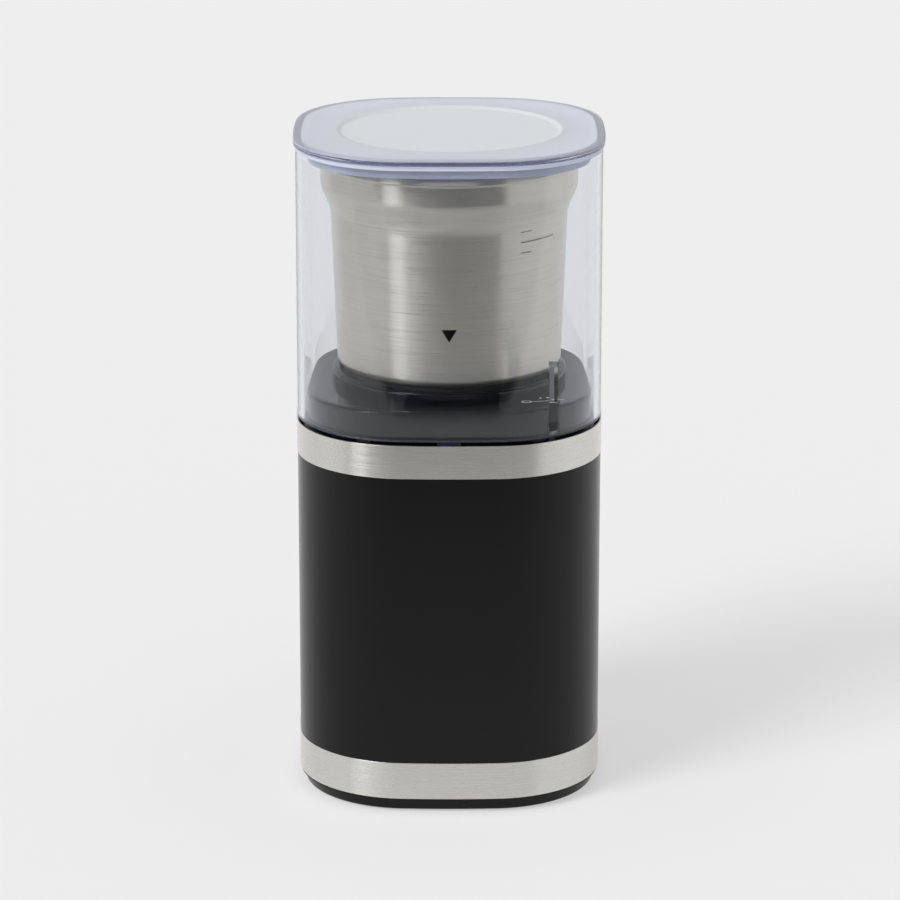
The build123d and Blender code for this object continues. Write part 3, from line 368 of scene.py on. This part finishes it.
def brushed(name, colour, roughness, across, anisotropy, along=25.0, depth=0.25, dark=0.9):
    """Steel brushed along level lines: fine streaks across Z, long along X and Y."""
    mat, tree, shader = new_material(name)
    new, link = tree.nodes.new, tree.links.new
    coords = new("ShaderNodeTexCoord")
    stretch = new("ShaderNodeMapping")
    put(stretch, {"Scale": (along, along, across)})
    streaks = new("ShaderNodeTexNoise")
    put(streaks, {"Scale": 1.0, "Detail": 3.0})
    streak_low, streak_high, spread = 0.3, 0.7, 0.05
    rough = new("ShaderNodeMapRange")
    put(rough, {"From Min": streak_low, "From Max": streak_high})
    put(rough, {"To Min": roughness - spread, "To Max": roughness + spread})
    tone = new("ShaderNodeValToRGB")
    fill_ramp(tone, [(streak_low, [c * dark for c in colour]), (streak_high, colour)])
    bump = new("ShaderNodeBump")
    put(bump, {"Strength": depth, "Distance": 0.00002})
    tangent = new("ShaderNodeTangent")
    tangent.direction_type = "RADIAL"
    tangent.axis = "Z"
    link(coords.outputs["Object"], stretch.inputs["Vector"])
    link(stretch.outputs["Vector"], streaks.inputs["Vector"])
    link(streaks.outputs["Fac"], rough.inputs["Value"])
    link(streaks.outputs["Fac"], tone.inputs["Fac"])
    link(streaks.outputs["Fac"], bump.inputs["Height"])
    link(rough.outputs["Result"], shader.inputs["Roughness"])
    link(tone.outputs["Color"], shader.inputs["Base Color"])
    link(bump.outputs["Normal"], shader.inputs["Normal"])
    link(tangent.outputs["Tangent"], shader.inputs["Tangent"])
    put(shader, {"Metallic": 1.0, "Anisotropic": anisotropy, "Anisotropic Rotation": 0.25})
    return mat


def hazed(tree, clear, haze, milk):
    """Mixes a clear surface with light that its haze scatters, in the colour milk."""
    new, link = tree.nodes.new, tree.links.new
    back = new("ShaderNodeBsdfDiffuse")
    put(back, {"Color": (*milk, 1)})
    forward = new("ShaderNodeBsdfTranslucent")
    put(forward, {"Color": (*milk, 1)})
    scatter = new("ShaderNodeMixShader")
    put(scatter, {"Fac": FORWARD_SCATTER})
    blend = new("ShaderNodeMixShader")
    put(blend, {"Fac": haze})
    link(back.outputs["BSDF"], scatter.inputs[1])
    link(forward.outputs["BSDF"], scatter.inputs[2])
    link(clear, blend.inputs[1])
    link(scatter.outputs["Shader"], blend.inputs[2])
    return blend.outputs["Shader"]


def clear_plastic(name, tint, shade, roughness=0.0, ior=ACRYLIC_IOR, haze=0.0, milk=None, depth=0.0):
    """Clear plastic: refracts what is seen through it and lets lamp light pass to what it covers.

    shade tints that lamp light, haze is the share of scatter, and depth is how much of the blue of a cut edge
    a long way through the plastic gathers.
    """
    mat, tree, shader = new_material(name)
    new, link = tree.nodes.new, tree.links.new
    put(shader, {"Base Color": (*tint, 1), "Roughness": roughness, "IOR": ior, "Transmission Weight": 1.0})
    surface = shader.outputs["BSDF"]
    if haze:
        surface = hazed(tree, surface, haze, milk)
    path = new("ShaderNodeLightPath")
    through = new("ShaderNodeBsdfTransparent")
    put(through, {"Color": (*shade, 1)})
    mix = new("ShaderNodeMixShader")
    out = tree.nodes["Material Output"]
    link(path.outputs["Is Shadow Ray"], mix.inputs["Fac"])
    link(surface, mix.inputs[1])
    link(through.outputs["BSDF"], mix.inputs[2])
    link(mix.outputs["Shader"], out.inputs["Surface"])
    if depth:
        absorb = new("ShaderNodeVolumeAbsorption")
        put(absorb, {"Color": (*EDGE_BLUE, 1), "Density": depth})
        link(absorb.outputs["Volume"], out.inputs["Volume"])
    return mat


def frosted(name, haze, milk, tint=(0.96, 0.97, 0.99), shade=(0.92, 0.925, 0.95), roughness=0.3):
    """The hood's plastic where it is frosted, and where it is seen edge on, whose darker look there is
    painted into the colour of its scatter.
    """
    return clear_plastic(name, tint, shade, roughness, haze=haze, milk=milk, depth=22.0)


# ---------------------------------------------------------------- materials

band_steel = brushed(
    "band_steel", (0.70, 0.69, 0.645), 0.29, 3200.0, anisotropy=0.85, along=60.0, depth=0.15, dark=0.94
)
cup_steel = brushed(
    "cup_steel", (0.745, 0.715, 0.64), 0.32, 5500.0, anisotropy=0.88, along=45.0, depth=0.08, dark=0.86
)
hood_clear = clear_plastic("hood_clear", (0.912, 0.926, 0.934), (0.95, 0.955, 0.975), depth=26.0)
lid_frost = frosted(
    "lid_frost", 0.92, (0.945, 0.985, 1.0), tint=(0.97, 0.975, 0.99), shade=(0.92, 0.925, 0.94), roughness=0.4
)
lid_border = frosted("lid_border", 0.82, (0.89, 0.925, 0.985))
collar_frost = frosted("collar_frost", 0.85, (0.82, 0.87, 1.0))
# Painted shade: the ring of the top over the wall is a greyer, clearer copy of the border's frost, for the
# grey that the wall seen edge on gives there
lid_rim_painted_shade = frosted("lid_rim_painted_shade", 0.5, (0.75, 0.75, 0.82))
# Painted shade: the hood's foot and its front tab scatter a near black navy, for the dark line the clear wall
# shows there edge on
hood_foot_painted_shade = frosted("hood_foot_painted_shade", 0.7, (0.03, 0.03, 0.07), tint=(0.60, 0.60, 0.80))
seal_clear = clear_plastic(
    "seal_clear",
    (0.72, 0.71, 0.80),
    (0.75, 0.75, 0.82),
    roughness=0.35,
    ior=SILICONE_IOR,
    haze=0.6,
    milk=(0.62, 0.64, 0.90),
)
# Painted shade: the deck's upward faces shine less, so its top and bead reflect darker than its front
deck_black = darken_top_reflections(plain("deck_black", (0.005, 0.006, 0.007), 0.04), side=0.55, level=0.15)
ink_black = plain("ink_black", (0.002, 0.002, 0.002), 0.6, specular=0.1)
ink_white = plain("ink_white", (0.75, 0.75, 0.75), 0.5)
mark_grey = plain("mark_grey", (0.30, 0.29, 0.27), 0.45, metallic=1.0)

FINISHES = {
    "band_steel": band_steel,
    "cup_steel": cup_steel,
    "hood_clear": hood_clear,
    "seal_clear": seal_clear,
    "deck_black": deck_black,
    "body_black": plain(
        "body_black", (0.0022, 0.0022, 0.0025), 0.22, grain=0.25, grain_scale=3200.0, specular=0.24
    ),
    "gland_black": plain("gland_black", (0.014, 0.014, 0.014), 0.6),
    "foot_rubber": plain("foot_rubber", (0.02, 0.02, 0.02), 0.85, grain=0.4),
    "screw_steel": plain("screw_steel", (0.55, 0.55, 0.54), 0.3, metallic=1.0),
    "spring_steel": plain("spring_steel", (0.5, 0.5, 0.5), 0.25, metallic=1.0),
    "bearing_steel": plain("bearing_steel", (0.6, 0.6, 0.6), 0.15, metallic=1.0),
    "coil_copper": plain("coil_copper", (0.72, 0.30, 0.16), 0.35, metallic=1.0, grain=0.5, grain_scale=900.0),
    "terminal_brass": plain("terminal_brass", (0.78, 0.58, 0.25), 0.3, metallic=1.0),
    "bracket_alloy": plain(
        "bracket_alloy", (0.5, 0.5, 0.51), 0.5, metallic=1.0, grain=0.3, grain_scale=1500.0
    ),
    "carbon_black": plain("carbon_black", (0.02, 0.02, 0.022), 0.6),
    "switch_black": plain("switch_black", (0.018, 0.018, 0.02), 0.4),
    "button_plastic": plain("button_plastic", (0.55, 0.06, 0.04), 0.4),
    "plunger_plastic": plain("plunger_plastic", (0.62, 0.61, 0.57), 0.4),
    "coupling_plastic": plain("coupling_plastic", (0.03, 0.03, 0.032), 0.4),
    "fan_plastic": plain("fan_plastic", (0.75, 0.74, 0.70), 0.45),
    "hub_steel": brushed("hub_steel", (0.55, 0.54, 0.52), 0.22, 5000.0, anisotropy=0.4),
    "core_steel": brushed(
        "core_steel", (0.33, 0.33, 0.34), 0.45, 2000.0, anisotropy=0.2, along=10.0, dark=0.6
    ),
}

for entry in frame["record"]["subparts"]:
    node = frame["nodes"][entry["node"]]
    node.data.materials.clear()
    node.data.materials.append(FINISHES[entry["material_slot"]])
    smooth(node, 28.0)

# ---------------------------------------------------------------- hood and lid, one clear moulding


def hood_outside():
    """Loops from the foot's inner edge up the outside and over the lid to its middle."""
    foot = softened(
        [
            (HOOD_INNER_INSET, HOOD_FOOT + EDGE_SPAN),
            (HOOD_INNER_INSET, HOOD_FOOT),
            (HOOD_OUTER_INSET, HOOD_FOOT),
            (HOOD_OUTER_INSET, HOOD_FOOT + EDGE_SPAN),
        ],
        [0, FOOT_ROUND, FOOT_ROUND, 0],
        3,
    )
    slab = softened(
        [
            (HOOD_OUTER_INSET, HOOD_TOP - EDGE_SPAN),
            (HOOD_OUTER_INSET, HOOD_TOP),
            (LID_INSET, HOOD_TOP),
            (LID_INSET, LID_TOP),
            (5.0, LID_TOP),
        ],
        [0, 0.25, 0.3, LID_ROUND, 0],
        4,
    )
    recess = softened(
        [
            (BORDER_RADIUS, LID_TOP),
            (RECESS_RADIUS, LID_TOP),
            (RECESS_FLOOR_RADIUS, RECESS_FLOOR),
            (MIDDLE_RADIUS, RECESS_FLOOR),
        ],
        [0, RECESS_ROUND, RECESS_ROUND, 0],
        6,
    )
    framed = foot + slab[:-1] + [(HOOD_INNER_INSET, LID_TOP)]
    return [frame_loop(*place) for place in framed] + [round_loop(*place) for place in recess]


def hood_underside():
    """Loops from the middle of the lid's underside over spigot and collar to the wall's inner face."""
    seat = softened(
        [
            (MIDDLE_RADIUS, HOOD_TOP),
            (CONE_RADIUS, HOOD_TOP),
            (CONE_FOOT_RADIUS, SPIGOT_ROOT),
            (SPIGOT_INNER, SPIGOT_ROOT),
            (SPIGOT_INNER, SPIGOT_FOOT),
            (SPIGOT_OUTER, SPIGOT_FOOT),
            (SPIGOT_OUTER, SEAL_SEAT),
            (SEAT_RADIUS, SEAL_SEAT),
            (SEAT_RADIUS, COLLAR_FOOT),
            (BORDER_RADIUS, COLLAR_FOOT),
        ],
        [0, 0.4, 0.4, 0.4, 0.3, 0.3, 0.2, 0.2, 0.2, 0],
        3,
    )
    collar = softened(
        [
            (COLLAR_INSET + 0.9, COLLAR_FOOT),
            (COLLAR_INSET, COLLAR_FOOT),
            (COLLAR_INSET, HOOD_TOP),
            (HOOD_INNER_INSET, HOOD_TOP),
            (HOOD_INNER_INSET, HOOD_TOP - 1.8),
        ],
        [0, 0.4, 0.3, 0.3, 0],
        3,
    )
    return [round_loop(*place) for place in seat[:-1]] + [frame_loop(*place) for place in collar]


def hood_finish(face):
    """The finish of one face of the hood, by where it lies."""
    margin = 0.1
    x, y, z = (abs(value) * 1000 for value in face.center)
    reach = math.hypot(x, y)
    if z > (HOOD_TOP + LID_TOP) / 2 and face.normal.z > 0.3:
        if reach < RECESS_RADIUS + margin:
            return lid_frost
        # The ring over the wall gets the greyer copy, which is painted shade
        return lid_border if edge_inset(x, y) > HOOD_INNER_INSET else lid_rim_painted_shade
    beside_seal = COLLAR_FOOT - margin < z < HOOD_TOP + margin and reach > SEAT_RADIUS - margin
    if beside_seal and face.normal.z < 0.9:
        return collar_frost
    # Faces of the foot and of the tab get the foot's painted dark shade
    return hood_foot_painted_shade if z < HOOD_FOOT + FOOT_ROUND else hood_clear


def build_hood():
    # From the lid's middle over the edge, down the outside, round the foot and up the inside
    path = hood_outside()[::-1] + hood_underside()[::-1]
    centres = [(0, 0, RECESS_FLOOR), (0, 0, HOOD_TOP)]
    hood = loops_to_mesh("hood_clear_shell", path, 32.0, centres)
    tongue_side = (TONGUE_X - TONGUE_WALL / 2, TONGUE_X + TONGUE_WALL / 2)
    join(hood, block("tongue", tongue_side, (TONGUE_FRONT, TONGUE_BACK), (TONGUE_FOOT, TONGUE_TOP)))
    tab_side = (-TAB_WIDTH / 2, TAB_WIDTH / 2)
    join(hood, block("tab", tab_side, (TAB_FRONT, TAB_BACK), (TAB_FOOT, TAB_TOP)))
    smooth(hood, 32.0)
    zones = [hood_clear, lid_frost, lid_border, lid_rim_painted_shade, hood_foot_painted_shade, collar_frost]
    hood.data.materials.clear()
    for mat in zones:
        hood.data.materials.append(mat)
    for face in hood.data.polygons:
        face.material_index = zones.index(hood_finish(face))
    return hood


hood = build_hood()
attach(hood, "lid")
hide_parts("hood_shell", "lid_plate")

# ---------------------------------------------------------------- bowl


def build_cup():
    outside = softened(
        [
            (0.0, CUP_FOOT),
            (CUP_FOOT_RADIUS, CUP_FOOT),
            (SHOULDER_FOOT_RADIUS, SHOULDER_FOOT),
            (RIM_RADIUS, RIM_FOOT),
            (RIM_RADIUS, LIP_FOOT),
            (RIM_RADIUS + LIP_ROLL, LIP_LOW),
            (RIM_RADIUS + LIP_ROLL, LIP_HIGH),
            (RIM_RADIUS - LIP_ROLL, CUP_TOP - 0.1),
            (RIM_RADIUS - CUP_WALL, CUP_TOP),
        ],
        [0, 3.0, 14.0, 8.0, 0.1, 0.3, 0.3, 0.2, 0],
        12,
    )
    inside = softened(
        [
            (RIM_RADIUS - CUP_WALL, CUP_TOP),
            (RIM_RADIUS - CUP_WALL, RIM_FOOT),
            (SHOULDER_FOOT_RADIUS - CUP_WALL, SHOULDER_FOOT),
            (CUP_FOOT_RADIUS - CUP_WALL, CUP_FOOT + CUP_WALL),
            (0.0, CUP_FOOT + CUP_WALL),
        ],
        [0, 8.0, 14.0, 2.6, 0],
        12,
    )
    profile = [(CUP_HOLE, CUP_FOOT)] + outside[1:] + inside[1:-1] + [(CUP_HOLE, CUP_FOOT + CUP_WALL)]
    obj = loops_to_mesh("bowl_steel", [circle(radius, z) for radius, z in profile], 35.0)
    obj.data.materials.append(cup_steel)
    return obj


cup = build_cup()
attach(cup, "bowl")
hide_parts("bowl_cup")

# ---------------------------------------------------------------- marks on the bowl


def cup_mark(name, rows, material):
    """A thin printed shape on the bowl. Rows hold points as arc length from the front and height."""
    slope = (SHOULDER_FOOT_RADIUS - CUP_FOOT_RADIUS) / (SHOULDER_FOOT - CUP_FOOT)
    verts = []
    for row in rows:
        for s, z in row:
            r = CUP_FOOT_RADIUS + (z - CUP_FOOT) * slope + PRINT
            a = s / r - math.pi / 2
            verts.append((r * math.cos(a), r * math.sin(a), z))
    count = len(rows[0])
    faces = []
    for i in range(len(rows) - 1):
        for k in range(count - 1):
            a = i * count + k
            faces.append((a, a + 1, a + 1 + count, a + count))
    obj = make_object(name, verts, faces)
    obj.data.materials.append(material)
    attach(obj, "bowl")


def arrow_rows(steps=8):
    """A triangle that points down, as rows that narrow to its tip."""
    rows = []
    for i in range(steps + 1):
        half = ARROW_HALF * (1 - i / steps)
        z = ARROW_TOP + (ARROW_TIP - ARROW_TOP) * i / steps
        rows.append([(half * (2 * k / steps - 1), z) for k in range(steps + 1)])
    return rows


def line_rows(start, end, bottom, top, steps=16):
    """A level strip, as its lower and its upper edge."""
    return [[(start + (end - start) * k / steps, z) for k in range(steps + 1)] for z in (bottom, top)]


cup_mark("bowl_arrow_mark", arrow_rows(), ink_black)
cup_mark("fill_line", line_rows(FILL_START, FILL_END, 196.2, 196.7), mark_grey)
cup_mark("fill_tick_low", line_rows(FILL_START, TICK_END, 192.6, 193.0), mark_grey)
cup_mark("fill_tick_high", line_rows(FILL_START, TICK_END, 199.8, 200.2), mark_grey)

# ---------------------------------------------------------------- lock sign on the deck


def deck_line(name, points, width, closed=False):
    """A thin printed line on the deck's level top."""
    z = DECK_TOP + PRINT
    verts, faces = [], []
    count = len(points)
    for i, (x, y) in enumerate(points):
        before = points[i - 1] if (closed or i) else points[i]
        after = points[(i + 1) % count] if (closed or i < count - 1) else points[i]
        along = Vector((after[0] - before[0], after[1] - before[1])).normalized()
        side = Vector((-along.y, along.x)) * (width / 2)
        verts += [(x + side.x, y + side.y, z), (x - side.x, y - side.y, z)]
    for i in range(count if closed else count - 1):
        n = (i + 1) % count
        faces.append((2 * i, 2 * i + 1, 2 * n + 1, 2 * n))
    obj = make_object(name, verts, faces)
    obj.data.materials.append(ink_white)
    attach(obj, "housing")


def ring_points(x, y, radius_x, radius_y, steps=24):
    turns = [2 * math.pi * k / steps for k in range(steps)]
    return [(x + radius_x * math.cos(a), y + radius_y * math.sin(a)) for a in turns]


def bend_points(x, y, length, rise, steps=11):
    """A line along X that bends towards the back."""
    return [(x + length * k / steps, y + rise * (k / steps) ** 1.5) for k in range(steps + 1)]


deck_line("lock_ring", ring_points(25.9, -35.6, 1.5, 1.2), 0.35, closed=True)
deck_line("lock_way", bend_points(27.6, -35.3, 11.0, 3.3), 0.3)
deck_line("lock_bar", [(32.6, -30.4), (35.6, -30.0)], 0.7)
deck_line("lock_dot", [(30.3, -31.0), (31.0, -30.9)], 0.8)

# ---------------------------------------------------------------- bands


def band(name, node):
    """A steel band with its edges just broken, in place of its node."""
    bottom, top = heights(node)
    profile = softened(
        [
            (BAND_WALL / 2, bottom),
            (0.0, bottom),
            (0.0, top),
            (BAND_WALL, top),
            (BAND_WALL, bottom),
            (BAND_WALL / 2, bottom),
        ],
        [0, BAND_ROUND, BAND_ROUND, BAND_ROUND, BAND_ROUND, 0],
        3,
    )[:-1]
    obj = loops_to_mesh(name, [frame_loop(inset, z) for inset, z in profile], 40.0)
    obj.data.materials.append(band_steel)
    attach(obj, "housing")
    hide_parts(node)


band("steel_band_low", "lower_band")
band("steel_band_high", "upper_band")

# ---------------------------------------------------------------- stage

FLOOR_HALF = 6.0
FLOOR_DROP = 0.00005
# Painted reflection: between these two lines across the floor, mirror rays see it fade to dark towards the
# front
PAINTED_REFLECTION_FAR = -0.62
PAINTED_REFLECTION_NEAR = -0.10
PANEL_DISTANCE = 1.3
SUN_DIRECTION = (0.57, 0.48, -0.67)


def after_bounce(tree, kind="Glossy Depth"):
    """One for what is seen by way of a mirror, or of a dull face with "Diffuse Depth", else zero."""
    path = tree.nodes.new("ShaderNodeLightPath")
    test = tree.nodes.new("ShaderNodeMath")
    test.operation = "GREATER_THAN"
    test.inputs[1].default_value = 0.5
    tree.links.new(path.outputs[kind], test.inputs[0])
    return test.outputs["Value"]


def glowing_floor():
    """Pale floor with some light of its own. Its reflection is painted: mirror rays see it fade to dark
    towards the front, though the floor goes on pale there.
    """
    mat, tree, shader = new_material("floor_white")
    new, link = tree.nodes.new, tree.links.new
    put(shader, {"Base Color": (*grey(0.44), 1), "Roughness": 1.0, "Specular IOR Level": 0.0})
    put(shader, {"Emission Color": (1.0, 0.986, 0.996, 1), "Emission Strength": 0.49})
    coords = new("ShaderNodeTexCoord")
    split = new("ShaderNodeSeparateXYZ")
    along = new("ShaderNodeMapRange")
    put(along, {"From Min": PAINTED_REFLECTION_FAR, "From Max": PAINTED_REFLECTION_NEAR})
    # Painted reflection: a ramp by Y that mirror rays see in place of the floor's own shading
    fade = new("ShaderNodeValToRGB")
    fill_ramp(fade, [(0.0, grey(0.03)), (0.10, grey(0.03)), (0.17, grey(0.52)), (1.0, grey(0.85))])
    seen = new("ShaderNodeEmission")
    near = new("ShaderNodeMath")
    near.operation = "LESS_THAN"
    near.inputs[1].default_value = PAINTED_REFLECTION_NEAR
    both = new("ShaderNodeMath")
    both.operation = "MULTIPLY"
    mix = new("ShaderNodeMixShader")
    link(coords.outputs["Object"], split.inputs["Vector"])
    link(split.outputs["Y"], along.inputs["Value"])
    link(along.outputs["Result"], fade.inputs["Fac"])
    link(fade.outputs["Color"], seen.inputs["Color"])
    link(split.outputs["Y"], near.inputs[0])
    link(near.outputs["Value"], both.inputs[0])
    link(after_bounce(tree), both.inputs[1])
    link(both.outputs["Value"], mix.inputs["Fac"])
    link(shader.outputs["BSDF"], mix.inputs[1])
    link(seen.outputs["Emission"], mix.inputs[2])
    link(mix.outputs["Shader"], tree.nodes["Material Output"].inputs["Surface"])
    return mat


def build_floor():
    mesh = bpy.data.meshes.new("floor")
    corners = [(-1, -1), (1, -1), (1, 1), (-1, 1)]
    mesh.from_pydata([(x * FLOOR_HALF, y * FLOOR_HALF, -FLOOR_DROP) for x, y in corners], [], [(0, 1, 2, 3)])
    mesh.materials.append(glowing_floor())
    obj = bpy.data.objects.new("floor", mesh)
    bpy.context.scene.collection.objects.link(obj)


def softbox(name, azimuth, height, width, tall, strength):
    """A glowing panel that only shows in reflections. Azimuth is measured from the front, towards +X."""
    a = math.radians(azimuth)
    place = (PANEL_DISTANCE * math.sin(a), -PANEL_DISTANCE * math.cos(a), height)
    mat = bpy.data.materials.new(name)
    mat.use_nodes = True
    tree = mat.node_tree
    new, link = tree.nodes.new, tree.links.new
    tree.nodes.clear()
    glow = new("ShaderNodeEmission")
    put(glow, {"Color": (*grey(1.0), 1), "Strength": strength})
    clear = new("ShaderNodeBsdfTransparent")
    mix = new("ShaderNodeMixShader")
    out = new("ShaderNodeOutputMaterial")
    link(after_bounce(tree), mix.inputs["Fac"])
    link(clear.outputs["BSDF"], mix.inputs[1])
    link(glow.outputs["Emission"], mix.inputs[2])
    link(mix.outputs["Shader"], out.inputs["Surface"])
    bpy.ops.mesh.primitive_plane_add(size=1.0, location=place)
    obj = bpy.context.object
    obj.name = name
    obj.scale = (width, tall, 1)
    obj.rotation_euler = (math.radians(90), 0, a)
    obj.data.materials.append(mat)
    obj.visible_camera = False
    obj.visible_diffuse = False
    obj.visible_shadow = False


def key_light():
    """A broad sun from the upper left front, for the soft shadow."""
    data = bpy.data.lights.new("key", "SUN")
    data.energy = 1.6
    data.angle = math.radians(24)
    obj = bpy.data.objects.new("key", data)
    bpy.context.scene.collection.objects.link(obj)
    obj.rotation_euler = Vector(SUN_DIRECTION).to_track_quat("-Z", "Y").to_euler()


def studio_world():
    """Pale surroundings. Mirrors see them dark in front and overhead, and pale behind."""
    world = bpy.data.worlds.new("studio")
    bpy.context.scene.world = world
    world.use_nodes = True
    tree = world.node_tree
    new, link = tree.nodes.new, tree.links.new
    coords = new("ShaderNodeTexCoord")
    split = new("ShaderNodeSeparateXYZ")
    above = new("ShaderNodeMath")
    above.operation = "MAXIMUM"
    above.inputs[1].default_value = 0.0
    lean = new("ShaderNodeMath")
    lean.operation = "MULTIPLY_ADD"
    lean.inputs[1].default_value = -0.6
    fit = new("ShaderNodeMapRange")
    put(fit, {"From Min": -1.0, "From Max": 1.0})
    ramp = new("ShaderNodeValToRGB")
    fill_ramp(ramp, [(0.30, (0.03, 0.03, 0.032)), (0.58, grey(0.86))])
    direct = new("ShaderNodeMix")
    direct.data_type = "RGBA"
    put(direct, {"A": (*grey(0.847), 1)})
    scattered = new("ShaderNodeMix")
    scattered.data_type = "RGBA"
    put(scattered, {"B": (*grey(0.5), 1)})
    back = tree.nodes["Background"]
    link(coords.outputs["Generated"], split.inputs["Vector"])
    link(split.outputs["Z"], above.inputs[0])
    link(above.outputs["Value"], lean.inputs[0])
    link(split.outputs["Y"], lean.inputs[2])
    link(lean.outputs["Value"], fit.inputs["Value"])
    link(fit.outputs["Result"], ramp.inputs["Fac"])
    link(after_bounce(tree), direct.inputs["Factor"])
    link(ramp.outputs["Color"], direct.inputs["B"])
    link(after_bounce(tree, "Diffuse Depth"), scattered.inputs["Factor"])
    link(direct.outputs["Result"], scattered.inputs["A"])
    link(scattered.outputs["Result"], back.inputs["Color"])
    put(back, {"Strength": 1.0})


build_floor()
softbox("softbox_left", -50, height=0.62, width=0.36, tall=1.1, strength=2.6)
softbox("softbox_right", 59, height=0.47, width=0.48, tall=0.8, strength=1.4)
softbox("softbox_side", 92, height=0.45, width=1.1, tall=1.1, strength=1.0)
softbox("softbox_left_side", -82, height=0.45, width=0.85, tall=1.1, strength=0.75)
softbox("softbox_left_rear", -114, height=0.35, width=0.68, tall=1.2, strength=0.5)
softbox("softbox_front", 0, height=1.15, width=1.3, tall=0.9, strength=1.15)
key_light()
studio_world()

# ---------------------------------------------------------------- camera

SENSOR = 36.0
FOCAL_IN_PIXELS = 4201.9
PIXELS_ACROSS = 900.0
CAMERA_TILT = 0.284
CAMERA_PLACE = (0.000275, -1.4002, 0.5232)

camera_data = bpy.data.cameras.new("camera")
camera_data.sensor_width = SENSOR
camera_data.lens = FOCAL_IN_PIXELS / PIXELS_ACROSS * SENSOR
camera = bpy.data.objects.new("camera", camera_data)
bpy.context.scene.collection.objects.link(camera)
camera.location = CAMERA_PLACE
camera.rotation_euler = (math.pi / 2 - CAMERA_TILT, 0, 0)

scene = bpy.context.scene
scene.camera = camera
scene.view_settings.view_transform = "Standard"
scene.view_settings.look = "None"
